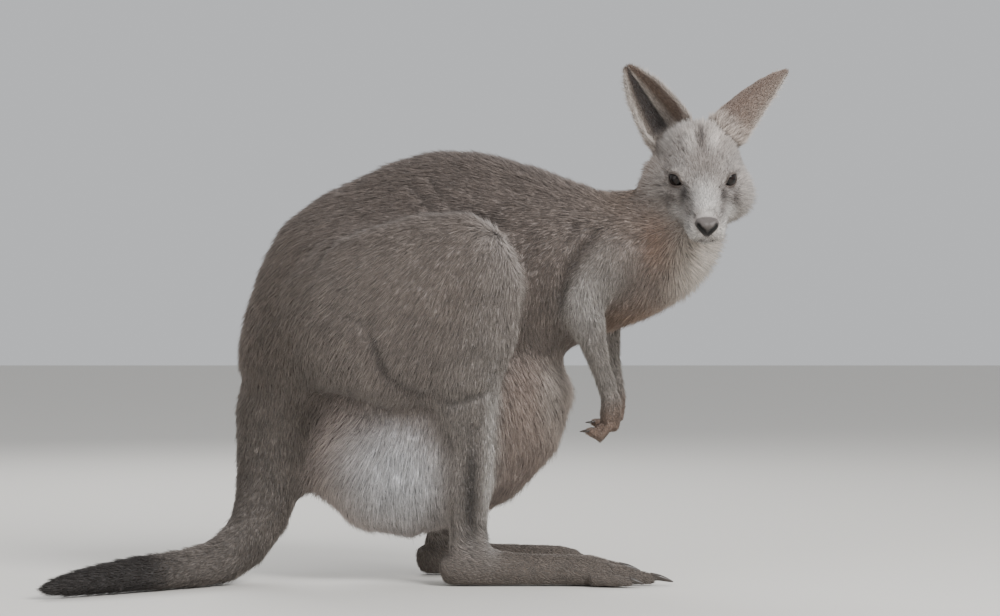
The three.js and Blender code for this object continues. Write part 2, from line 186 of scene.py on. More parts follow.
def applied(obj: Object) -> Object:
    """The same object with its modifiers made part of a plain mesh.

    Args:
        obj: The object.

    Returns:
        The same object.
    """
    made = bpy.data.meshes.new_from_object(obj.evaluated_get(bpy.context.evaluated_depsgraph_get()))
    obj.modifiers.clear()
    old = obj.data
    obj.data = made
    bpy.data.meshes.remove(old)
    return obj


def fewer_faces(obj: Object, share: float) -> None:
    """Keeps only a share of an object's faces."""
    obj.modifiers.new("fewer faces", "DECIMATE").ratio = share
    applied(obj)


def signed_volume(corners: Array) -> float:
    """Above 0 where a closed shape's faces point outwards, from three corners of each face."""
    return float(np.einsum("ij,ij->i", corners[:, 0], np.cross(corners[:, 1], corners[:, 2])).sum())


def blended(colour: Array, other: str, share: Array) -> Array:
    """Linear colours turned towards an sRGB hex one by a share at each place."""
    return colour + (np.array(linear(other)[:3]) - colour) * share[:, None]


# --- places


@dataclass(frozen=True)
class HeadFrame:
    """The head's own coordinates: +X to the nose, +Y to her left, +Z up, from between the eyes."""

    at: Place = (391.0, -17.0, 577.0)
    turn: float = -88.0
    pitch: float = 29.0

    def axes(self) -> Array:
        """The head's axes as the columns of a matrix in the part's frame."""
        turn = Matrix.Rotation(math.radians(self.turn), 3, "Z")
        pitch = Matrix.Rotation(math.radians(self.pitch), 3, "Y")
        return np.array(turn @ pitch)

    def inward(self, points: Array) -> Array:
        """Places of the part's frame, in the head's coordinates."""
        return (points - np.array(self.at)) @ self.axes()

    def outward(self, points: Array) -> Array:
        """Places in the head's coordinates, in the part's frame."""
        return np.asarray(points, float) @ self.axes().T + np.array(self.at)

    def direction(self, vectors: Array) -> Array:
        """Directions in the head's coordinates, in the part's frame."""
        return np.asarray(vectors, float) @ self.axes().T


HEAD = HeadFrame()
MIDDLE_Y = 49.0  # the body's middle plane
FAR = 99.0  # stands for any distance too great to matter


class Region(Enum):
    """A stretch of the body with a coat of its own."""

    BACK = "back"
    NECK = "neck"
    THIGH = "thigh"
    POUCH = "pouch"
    ARM = "arm"
    SHANK = "shank"
    HAND = "hand"
    FOOT = "foot"
    TAIL = "tail"
    TIP = "tip"
    FACE = "face"
    EAR = "ear"
    NOSE = "nose"


@dataclass(frozen=True)
class CoatKind:
    """How the hair of one region is, in millimetres and degrees."""

    region: Region
    nodes: tuple[str, ...]
    depth: float  # from the tips down to the skin
    length: float
    width: float
    lift: float  # above the skin
    spacing: float
    soften: float  # how far the solids' facets are smoothed away
    fade: float  # over what distance its looks give way to a neighbour's
    colour: str


def both(*names: str) -> tuple[str, ...]:
    """The names with each side's ending."""
    return tuple(f"{name}_{side}" for name in names for side in SIDES)


TOES = both("foot", "toe_4", "toe_5", "toes_2_3")
COAT = (
    CoatKind(Region.BACK, ("trunk",), 6.0, 17, 1.4, 15, 1.6, 11, 16, "#93867e"),
    CoatKind(Region.NECK, ("neck",), 5.5, 16, 1.35, 17, 1.6, 10, 14, "#a09086"),
    CoatKind(Region.THIGH, both("thigh"), 5.5, 17, 1.4, 15, 1.6, 10, 16, "#998d85"),
    CoatKind(Region.POUCH, ("pouch",), 6.5, 22, 1.3, 13, 1.7, 12, 9, "#b8a89f"),
    CoatKind(Region.ARM, both("upper_arm", "forearm"), 2.4, 11, 1.15, 17, 1.55, 3.2, 12, "#9d958e"),
    CoatKind(Region.SHANK, both("shank"), 4.0, 12, 1.3, 15, 1.7, 4.5, 14, "#9a918a"),
    CoatKind(Region.HAND, both("hand"), 0.6, 4.0, 0.8, 14, 1.2, 0.6, 8, "#867163"),
    CoatKind(Region.FOOT, TOES, 1.6, 5.5, 0.95, 14, 1.5, 2.0, 10, "#746a62"),
    CoatKind(Region.TAIL, ("tail_base", "tail_middle"), 3.8, 13, 1.4, 14, 1.8, 6, 16, "#7f766f"),
    CoatKind(Region.TIP, ("tail_tip",), 3.0, 13, 1.3, 14, 1.8, 4, 22, "#3b3532"),
    CoatKind(Region.FACE, ("head",), 2.2, 8.0, 0.85, 26, 1.05, 2.4, 9, "#b2a9a2"),
    CoatKind(Region.EAR, both("ear"), 0.0, 5.0, 0.8, 14, 1.1, 0.6, 3, "#7d6d63"),
    CoatKind(Region.NOSE, ("nose_pad",), 0.6, 1.0, 0.5, 10, 9.0, 1.6, 2, "#8a8583"),
)
FLESH = tuple(node for kind in COAT for node in kind.nodes)
ORDER = {kind.region: i for i, kind in enumerate(COAT)}


# --- distance fields


@dataclass(frozen=True)
class Lattice:
    """A box of evenly spaced places on which a distance field is kept."""

    low: tuple[int, int, int]  # in voxels from the part's origin
    shape: tuple[int, int, int]
    voxel: float

    @classmethod
    def around(cls, low: Array, high: Array, voxel: float) -> "Lattice":
        """The lattice that covers a box.

        Args:
            low: The box's lowest corner.
            high: Its highest corner.
            voxel: The spacing.

        Returns:
            The lattice.
        """
        first = np.floor(np.asarray(low) / voxel).astype(int)
        last = np.ceil(np.asarray(high) / voxel).astype(int)
        return cls(tuple(int(v) for v in first), tuple(int(v) for v in last - first + 1), voxel)

    def axis(self, i: int) -> Array:
        """The places along axis i, shaped to spread over the other two."""
        places = (self.low[i] + np.arange(self.shape[i], dtype=np.float32)) * self.voxel
        return places.reshape([-1 if j == i else 1 for j in range(3)])

    def grid(self) -> Array:
        """Every place of the lattice in millimetres, with x, y and z last."""
        return np.stack(np.meshgrid(*[self.axis(i).ravel() for i in range(3)], indexing="ij"), -1)

    def window(self, low: Array, high: Array) -> tuple[tuple[slice, ...], "Lattice"] | None:
        """The part of the lattice inside a box.

        Args:
            low: The box's lowest corner.
            high: Its highest corner.

        Returns:
            The part as slices and as a lattice, or None if there is none.
        """
        first = np.maximum(np.floor(np.asarray(low) / self.voxel).astype(int) - self.low, 0)
        last = np.ceil(np.asarray(high) / self.voxel).astype(int) - self.low + 1
        last = np.minimum(last, self.shape)
        if (last <= first).any():
            return None
        cut = tuple(slice(int(a), int(b)) for a, b in zip(first, last))
        start = tuple(int(v) for v in first + self.low)
        return cut, Lattice(start, tuple(int(v) for v in last - first), self.voxel)

    def distance(self, points: Array, faces: Array, reach: float) -> Array:
        """The signed distance to a closed shape, negative inside, up to a reach.

        Args:
            points: The shape's vertices.
            faces: Its triangles or quads.
            reach: The largest distance that is kept, in millimetres.

        Returns:
            One value for each place.
        """
        band = reach / self.voxel
        kind = "triangles" if faces.shape[1] == 3 else "quads"
        grid = vdb.FloatGrid.createLevelSetFromPolygons(
            np.ascontiguousarray(points, np.float32),
            transform=vdb.createLinearTransform(voxelSize=self.voxel),
            halfWidth=band,
            **{kind: np.ascontiguousarray(faces, np.uint32)},
        )
        values = np.empty(self.shape, np.float32)
        grid.copyToArray(values, ijk=self.low)
        return np.clip(values, -reach, reach)

    def surface(self, values: Array, level: float = 0.0) -> tuple[Array, Array]:
        """The closed surface at a level of the field.

        Args:
            values: The field, negative inside.
            level: The level.

        Returns:
            Vertices in millimetres and quads that face outwards.
        """
        grid = vdb.FloatGrid(background=float(values.max()))
        grid.transform = vdb.createLinearTransform(voxelSize=self.voxel)
        grid.copyFromArray(np.ascontiguousarray(values, np.float32), ijk=self.low)
        points, _, quads = grid.convertToPolygons(isovalue=level, adaptivity=0)
        return points, quads if signed_volume(points[quads]) > 0 else quads[:, ::-1]

    def sample(self, values: Array, points: Array) -> Array:
        """The field at any places inside the lattice, straight between its own.

        Args:
            values: The field, with any further axes last.
            points: Places in millimetres.

        Returns:
            One value, or one row, for each place.
        """
        place = points / self.voxel - np.array(self.low)
        first = np.clip(np.floor(place).astype(int), 0, np.array(self.shape) - 2)
        share = np.clip(place - first, 0, 1).astype(np.float32)
        total = 0
        for corner in np.ndindex(2, 2, 2):
            weight = np.prod(np.where(corner, share, 1 - share), axis=1)
            at = first + corner
            value = values[at[:, 0], at[:, 1], at[:, 2]]
            total = total + value * weight.reshape([-1] + [1] * (value.ndim - 1))
        return total


def stretched(values: Array, places: list[Array]) -> Array:
    """A field read at other places along each axis, straight between its own.

    Args:
        values: The field.
        places: Where it is read along each axis, in its own steps.

    Returns:
        The field at those places.
    """
    for axis, place in enumerate(places):
        first = np.clip(np.floor(place).astype(int), 0, values.shape[axis] - 2)
        share = np.clip(place - first, 0, 1).astype(np.float32)
        share = share.reshape([-1 if j == axis else 1 for j in range(3)])
        below, above = np.take(values, first, axis), np.take(values, first + 1, axis)
        values = below * (1 - share) + above * share
    return values


def blurred(values: Array, spread: float) -> Array:
    """The field softened evenly.

    Args:
        values: The field.
        spread: How far it is softened, in voxels.

    Returns:
        The softened field.
    """
    if spread <= 0:
        return values
    if spread > 3:
        small = blurred(values[::2, ::2, ::2], spread / 2)
        return stretched(small, [np.arange(n) / 2 for n in values.shape])
    reach = max(1, int(math.ceil(spread * 2.2)))
    kernel = np.exp(-0.5 * (np.arange(-reach, reach + 1) / spread) ** 2)
    kernel = (kernel / kernel.sum()).astype(np.float32)
    for axis in range(3):
        length = values.shape[axis]
        width = [(reach, reach) if i == axis else (0, 0) for i in range(3)]
        padded = np.moveaxis(np.pad(values, width, mode="edge"), axis, 0)
        values = sum(weight * padded[j : j + length] for j, weight in enumerate(kernel))
        values = np.moveaxis(values, 0, axis)
    return values


class Solids:
    """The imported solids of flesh: their meshes, read once, and where each one is."""

    def __init__(self) -> None:
        """Reads every flesh node and both eyes."""
        self.meshes = {}
        for name in (*FLESH, *both("eye")):
            mesh = frame["nodes"][name].data
            self.meshes[name] = (points_of(mesh), triangles_of(mesh))

    def spread(
        self, name: str, lattice: Lattice, reach: float
    ) -> tuple[tuple[slice, ...], Array] | None:
        """One node's distance on the part of a lattice that is within reach of it.

        Args:
            name: The node.
            lattice: The lattice.
            reach: The largest distance that matters.

        Returns:
            The part as slices and the distance there, or None out of reach.
        """
        points, faces = self.meshes[name]
        found = lattice.window(points.min(0) - reach, points.max(0) + reach)
        if found is None:
            return None
        cut, part = found
        return cut, part.distance(points, faces, reach)


@dataclass
class RegionMap:
    """How much each region has a say at any place, on a coarse lattice round the whole body."""

    solids: Solids
    voxel: float = 5.0
    reach: float = 45.0
    softness: float = 5.0  # over what distance one region's form gives way to the next
    margin: float = 24.0
    fades_by: float = 0.75  # the share of the reach at which a region's looks are gone
    least: float = 0.002  # a smaller share in the form is left out
    lattice: Lattice = field(init=False)
    shares: Array = field(init=False)  # for the form
    looks: Array = field(init=False)  # for colour, length and lie

    def __post_init__(self) -> None:
        """Fills the lattice."""
        every = np.concatenate([points for points, _ in self.solids.meshes.values()])
        low, high = every.min(0) - self.margin, every.max(0) + self.margin
        self.lattice = Lattice.around(low, high, self.voxel)
        nearest = np.full((*self.lattice.shape, len(COAT)), self.reach, np.float32)
        for i, kind in enumerate(COAT):
            for name in kind.nodes:
                cut, values = self.solids.spread(name, self.lattice, self.reach)
                np.minimum(nearest[(*cut, i)], values, out=nearest[(*cut, i)])
        nearest -= nearest.min(-1, keepdims=True)
        weight = np.exp(-nearest / self.softness)
        self.shares = weight / weight.sum(-1, keepdims=True)
        fades = np.array([kind.fade for kind in COAT], np.float32)
        gone = np.exp(-self.fades_by * self.reach / fades)
        weight = np.maximum(np.exp(-nearest / fades) - gone, 0)
        self.looks = weight / weight.sum(-1, keepdims=True)

    def at(self, points: Array) -> Array:
        """Each region's share in the looks at each place, in the order of COAT."""
        return self.lattice.sample(self.looks, points)

    def spread_to(self, lattice: Lattice) -> list[Array | None]:
        """Each region's share in the form, on a finer lattice.

        Args:
            lattice: The finer lattice.

        Returns:
            One field for each region, or None where it has no share.
        """
        places = [lattice.axis(i).ravel() / self.voxel - self.lattice.low[i] for i in range(3)]
        cut = tuple(slice(max(int(p[0]) - 1, 0), int(p[-1]) + 3) for p in places)
        places = [p - c.start for p, c in zip(places, cut)]
        parts = [self.shares[(*cut, i)] for i in range(len(COAT))]
        return [stretched(part, places) if part.max() > self.least else None for part in parts]


# --- skin


@dataclass(frozen=True)
class Block:
    """A box of the body that is worked at its own fineness."""

    name: str
    low: Place
    high: Place
    voxel: float
    fillet: float  # radius left in the creases between solids
    keep: float  # share of the faces that is kept
    seam: float = 18.0  # width of the strip where it dives under its neighbour
    dive: float = 4.5
    reach: float = 24.0  # the largest distance that matters
    parent: str = ""  # the block whose field it refines

    def depth_inside(self, lattice: Lattice) -> Array:
        """How far each place of a lattice is inside the box, negative outside."""
        axes = [lattice.axis(i) for i in range(3)]
        sides = [np.minimum(a - low, high - a) for a, low, high in zip(axes, self.low, self.high)]
        return np.minimum(np.minimum(sides[0], sides[1]), sides[2])


@dataclass
class Skin:
    """The one skin under the coat."""

    solids: Solids
    regions: RegionMap
    blocks: tuple[Block, ...] = (
        Block("head", (293, -128, 478), (534, 96, 756), 1.9, 2.6, 0.6),
        Block("hand_right", (212, -80, 166), (296, 6, 258), 1.6, 0.5, 0.7),
        Block("hand_left", (224, 94, 170), (306, 176, 264), 1.6, 0.5, 0.7),
        Block("foot_right", (-16, -86, -14), (376, 2, 54), 2.4, 1.2, 0.6),
        Block("foot_left", (-58, 92, -14), (340, 180, 54), 2.4, 1.2, 0.6),
        Block("ear_right", (258, -8, 634), (392, 88, 758), 1.0, 4.0, 0.36, 6.0, 4.0, 6.0),
        Block("ear_left", (394, -8, 634), (536, 92, 758), 1.0, 4.0, 0.36, 6.0, 4.0, 6.0),
        Block("eye_right", (326, -62, 552), (378, 2, 606), 0.85, 2.6, 0.5, 6.0, 1.0, parent="head"),
        Block("eye_left", (402, -62, 552), (450, 2, 606), 0.85, 2.6, 0.5, 6.0, 1.0, parent="head"),
        Block("nose", (358, -128, 470), (426, -66, 548), 0.85, 2.6, 0.5, 6.0, 1.0, parent="head"),
    )
    body: Block = Block("body", (-545, -256, -24), (545, 256, 700), 5.0, 18.0, 0.8)
    plain: dict[str, tuple[Lattice, Array]] = field(default_factory=dict)
    face: "FaceSculpt" = field(default_factory=lambda: FaceSculpt())
    creases: "Creases" = field(default_factory=lambda: Creases())
    most_faces: int = 190_000
    slack: float = 2.0  # room round a block beyond its seam
    strip: float = 3.0  # voxels on each side of a block's edge that are evened
    strip_core: float = 1.6  # evened in full where this exceeds the share of the strip by 1
    evening: float = 0.6
    evening_rounds: int = 10

    def field_of(self, block: Block) -> tuple[Lattice, Array]:
        """The merged, smoothed and sunken distance field of one block, with nothing sculpted yet.

        Args:
            block: The block.

        Returns:
            Its lattice and the field on it.
        """
        margin = 0.0 if block is self.body else block.seam + 2 * self.slack
        low, high = np.array(block.low) - margin, np.array(block.high) + margin
        lattice = Lattice.around(low, high, block.voxel)
        if block.parent:
            coarse, values = self.plain[block.parent]
            places = [lattice.axis(i).ravel() / coarse.voxel - coarse.low[i] for i in range(3)]
            return lattice, stretched(values, places)
        nearest = np.full(lattice.shape, block.reach, np.float32)
        for name in self.solids.meshes:
            found = self.solids.spread(name, lattice, block.reach)
            if found:
                cut, values = found
                np.minimum(nearest[cut], values, out=nearest[cut])
        edge = np.full(lattice.shape, -block.reach, np.float32)
        if block is not self.body:
            edge = -(block.depth_inside(lattice) + block.seam + self.slack)
            nearest = np.maximum(nearest, edge)
        points, quads = lattice.surface(nearest, block.fillet)
        merged = lattice.distance(points, quads, block.reach + block.fillet) + block.fillet
        return lattice, self.softened(lattice, np.maximum(merged, edge))

    def softened(self, lattice: Lattice, values: Array) -> Array:
        """The field smoothed as far as each region wants, and sunk by its coat's depth.

        Args:
            lattice: The block's lattice.
            values: Its field.

        Returns:
            The changed field.
        """
        shares = self.regions.spread_to(lattice)
        total = np.zeros_like(values)
        for amount in sorted({kind.soften for kind in COAT}):
            members = [i for i, kind in enumerate(COAT) if kind.soften == amount]
            share = sum(shares[i] for i in members if shares[i] is not None)
            if isinstance(share, int):
                continue
            total += share * blurred(values, amount / lattice.voxel)
        for share, kind in zip(shares, COAT):
            if share is not None:
                total += share * kind.depth
        return total

    def sculpted(self, block: Block) -> Object:
        """One block's closed surface.

        Args:
            block: The block.

        Returns:
            Its object.
        """
        lattice, values = self.field_of(block)
        self.plain[block.name] = lattice, values
        if block is self.body:
            self.creases.lay(lattice, values)
        if block.name == "head":
            self.face.lay(lattice, values)
        if "head" in (block.name, block.parent):
            values = self.face.carve(lattice, values)
        else:
            values = self.creases.press(lattice, values)
        later = self.blocks[self.blocks.index(block) + 1 :] if block in self.blocks else self.blocks
        for other in later:
            found = lattice.window(other.low, other.high)
            if found:
                cut, part = found
                values = values.copy()
                values[cut] += other.dive * smooth_step(other.depth_inside(part) / other.seam)
        if block is not self.body:
            inside = block.depth_inside(lattice)
            values = values + block.dive * smooth_step(-inside / block.seam)
            values = np.maximum(values, -(inside + block.seam))
        points, quads = lattice.surface(values)
        obj = new_object(f"skin_{block.name}", mesh_of(f"skin_{block.name}", points, quads))
        fewer_faces(obj, block.keep)
        LOG.info("skin block %s: %d faces", block.name, len(triangles_of(obj.data)))
        return obj

    def smooth_seams(self, whole: Object) -> None:
        """Evens the skin along the lines where two blocks meet.

        Args:
            whole: The skin.
        """
        points = points_of(whole.data)
        weight = np.zeros(len(points))
        for block in self.blocks:
            sides = np.minimum(points - np.array(block.low), np.array(block.high) - points)
            inside = sides.min(1)
            share = np.abs(inside) / (self.strip * block.voxel)
            weight = np.maximum(weight, np.clip(self.strip_core - share, 0, 1))
        group = whole.vertex_groups.new(name="seams")
        for i in np.flatnonzero(weight > 0):
            group.add([int(i)], float(weight[i]), "REPLACE")
        modifier = whole.modifiers.new("smooth seams", "SMOOTH")
        modifier.vertex_group = group.name
        modifier.factor = self.evening
        modifier.iterations = self.evening_rounds
        applied(whole)
        whole.vertex_groups.clear()

    def build(self) -> Object:
        """The whole skin.

        Returns:
            One closed mesh's object.
        """
        whole = self.sculpted(self.body)
        for block in self.blocks:
            part = self.sculpted(block)
            modifier = whole.modifiers.new("join", "BOOLEAN")
            modifier.operation = "UNION"
            modifier.solver = "MANIFOLD"
            modifier.object = part
            applied(whole)
            bpy.data.objects.remove(part)
        self.smooth_seams(whole)
        count = len(triangles_of(whole.data))
        if count > self.most_faces:
            fewer_faces(whole, self.most_faces / count)
        whole.name = whole.data.name = "skin"
        whole.data.shade_smooth()
        LOG.info("skin: %d faces", len(triangles_of(whole.data)))
        return whole


@dataclass(frozen=True)
class EyeShape:
    """An eye and the opening of its lids, in the head's coordinates."""

    at: Place = (7.0, 34.5, 6.0)  # the left one
    radius: float = 13.2
    gaze: Place = (0.76, 0.64, 0.10)
    slant: float = 20.0  # how far the inner corner hangs, in degrees
    half_width: float = 13.2
    upper: float = 8.6
    lower: float = 7.0
    lid: float = 1.5  # thickness
    thicker_above: float = 0.5  # the upper lid
    fold_above: float = 3.6  # the crease of the upper lid, beyond its edge
    fold_width: float = 1.2
    fold_depth: float = 0.8
    melt: float = 3.2  # how softly the lids run into the head
    edge: float = 0.7  # roundness of their edges
    play: float = 0.15  # between the ball and its hollow

    def frame_of(self, side: int) -> tuple[Array, Array]:
        """Where an eye is and how it is turned.

        Args:
            side: 1 for her left eye, -1 for the right.

        Returns:
            Its centre, and its gaze, inner-corner and upward directions as rows.
        """
        flip = np.array([1, side, 1.0])
        gaze = unit(np.array(self.gaze) * flip)
        inner = unit(np.cross(np.array([0, 0, 1.0]), gaze) * -side)
        upward = unit(np.cross(gaze, inner) * side)
        upward = upward * np.sign(upward[2])
        turn = math.radians(self.slant)
        inner, upward = (
            math.cos(turn) * inner - math.sin(turn) * upward,
            math.sin(turn) * inner + math.cos(turn) * upward,
        )
        return np.array(self.at) * flip, np.stack([gaze, inner, upward])

    def opening(self, local: Array) -> tuple[Array, Array, Array]:
        """Where places are on the lids, measured along the ball.

        Args:
            local: Places from the eye's centre, along the three directions of frame_of.

        Returns:
            How far each is beyond the upper lid's edge, how far from the opening, and how far up.
        """
        front = np.maximum(local[..., 0], 0.1)
        across = np.arctan2(local[..., 1], front) * self.radius
        up = np.arctan2(local[..., 2], front) * self.radius
        above = (self.half_width**2 + self.upper**2) / (2 * self.upper)
        below = (self.half_width**2 + self.lower**2) / (2 * self.lower)
        over_upper = np.hypot(across, up - self.upper + above) - above
        gap = np.maximum(over_upper, np.hypot(across, up + self.lower - below) - below)
        return over_upper, gap, up

    def gap(self, points: Array) -> Array:
        """How far places on the lids are from the opening between them.

        Args:
            points: Places in millimetres.

        Returns:
            One distance for each, below 0 in the opening and large away from the eyes.
        """
        places = HEAD.inward(points)
        nearest = np.full(len(points), FAR)
        for side in SIDES.values():
            centre, axes = self.frame_of(side)
            away = places - centre
            local, reach = away @ axes.T, np.linalg.norm(away, axis=1)
            on_lids = (reach < self.radius + 9) & (local[:, 0] > 0)
            gap = np.where(on_lids, self.opening(local)[1], FAR)
            nearest = np.minimum(nearest, np.where(reach < self.radius + 0.5, -1.0, gap))
        return nearest


@dataclass(frozen=True)
class Stroke:
    """A path over the face that is raised or pressed in. Places are her left side's."""

    path: tuple[Place, ...]  # in the head's coordinates, near the surface
    height: float  # negative is pressed in
    widths: tuple[float, ...]
    mirrored: bool = True
    nostril: bool = False


@dataclass(frozen=True)
class Crease:
    """A fold of the body, as x and z on her right side. It is pressed in from the side."""

    path: tuple[tuple[float, float], ...]
    depth: float
    width: float
    shift: float = 0.0  # how far behind it the left side's fold is


def along_path(places: Array, path: Array, widths: tuple[float, ...]) -> Array:
    """1 on a path, falling softly to 0 beyond its width.

    Args:
        places: Points, with the axes last.
        path: The path's points.
        widths: Its half width at each point.

    Returns:
        One value for each place.
    """
    nearest = np.full(places.shape[:-1], FAR, np.float32)
    for a, b, wa, wb in zip(path, path[1:], widths, widths[1:]):
        way = b - a
        share = np.clip((places - a) @ way / (way @ way), 0, 1)
        away = np.linalg.norm(places - a - share[..., None] * way, axis=-1)
        nearest = np.minimum(nearest, away / (wa + (wb - wa) * share))
    return np.exp(-(nearest**2))


@dataclass
class Creases:
    """The folds of the flanks, groins, shoulders and shins, pressed into the skin and darkened with
    painted shade.
    """

    creases: tuple[Crease, ...] = (
        # above the thigh
        Crease(((-156, 452), (-118, 494), (-38, 519), (39, 530), (96, 512)), 6.0, 10, 20),
        Crease(((-75, 360), (-67, 335), (-58, 309)), 8.0, 9, 30),  # flank
        # under the thigh
        Crease(((-58, 304), (-10, 276), (39, 262), (86, 276)), 6.5, 10, 38),
        # behind the shoulder
        Crease(((262, 520), (237, 500), (214, 472), (196, 440), (190, 404)), 10.0, 8),
        Crease(((236, 540), (216, 516), (200, 486)), 4.0, 6),
        Crease(((-20, 566), (14, 530)), 4.0, 8),  # loin
        Crease(((8, 574), (40, 534)), 4.0, 8),
        Crease(((70, 226), (62, 160), (60, 100), (60, 64)), 7.0, 8, 38),  # before the tendon
        Crease(((-130, 400), (-96, 380), (-70, 372)), 3.0, 10, 30),
    )
    paths: list = field(default_factory=list)
    far: float = 250.0  # further out than the body
    deep: float = 8.0  # a fold this deep gets the full painted shade
    shade_width: float = 0.8  # width of the painted shade, as a share of the fold's

    def lay(self, lattice: Lattice, values: Array) -> None:
        """Finds where each fold lies on the skin.

        Args:
            lattice: The whole body's lattice.
            values: Its field.
        """
        steps = np.arange(0, 240, 2.0)
        for crease in self.creases:
            for side in SIDES.values():
                path = []
                for x, z in crease.path:
                    ray = np.zeros((len(steps), 3)) + (x - crease.shift * (side > 0), 0, z)
                    ray[:, 1] = side * (self.far - steps)
                    found = np.flatnonzero(lattice.sample(values, ray) < 0)
                    if len(found):
                        path.append(ray[found[0]])
                if len(path) > 1:
                    self.paths.append((crease, np.array(path, np.float32)))

    def share(self, points: Array) -> Array:
        """How far each place is in a fold.

        Args:
            points: Places in millimetres.

        Returns:
            1 in a deep fold, less in a shallow one and 0 away from them.
        """
        total = np.zeros(len(points), np.float32)
        for crease, path in self.paths:
            widths = (self.shade_width * crease.width,) * len(path)
            near = along_path(points.astype(np.float32), path, widths)
            total = np.maximum(total, near * min(crease.depth / self.deep, 1))
        return total

    def press(self, lattice: Lattice, values: Array) -> Array:
        """A field with the folds pressed in.

        Args:
            lattice: Its lattice.
            values: The field.

        Returns:
            The changed field.
        """
        values = values.copy()
        for crease, path in self.paths:
            margin = 2.4 * crease.width
            found = lattice.window(path.min(0) - margin, path.max(0) + margin)
            if found:
                cut, part = found
                widths = (crease.width,) * len(path)
                values[cut] += crease.depth * along_path(part.grid(), path, widths)
        return values


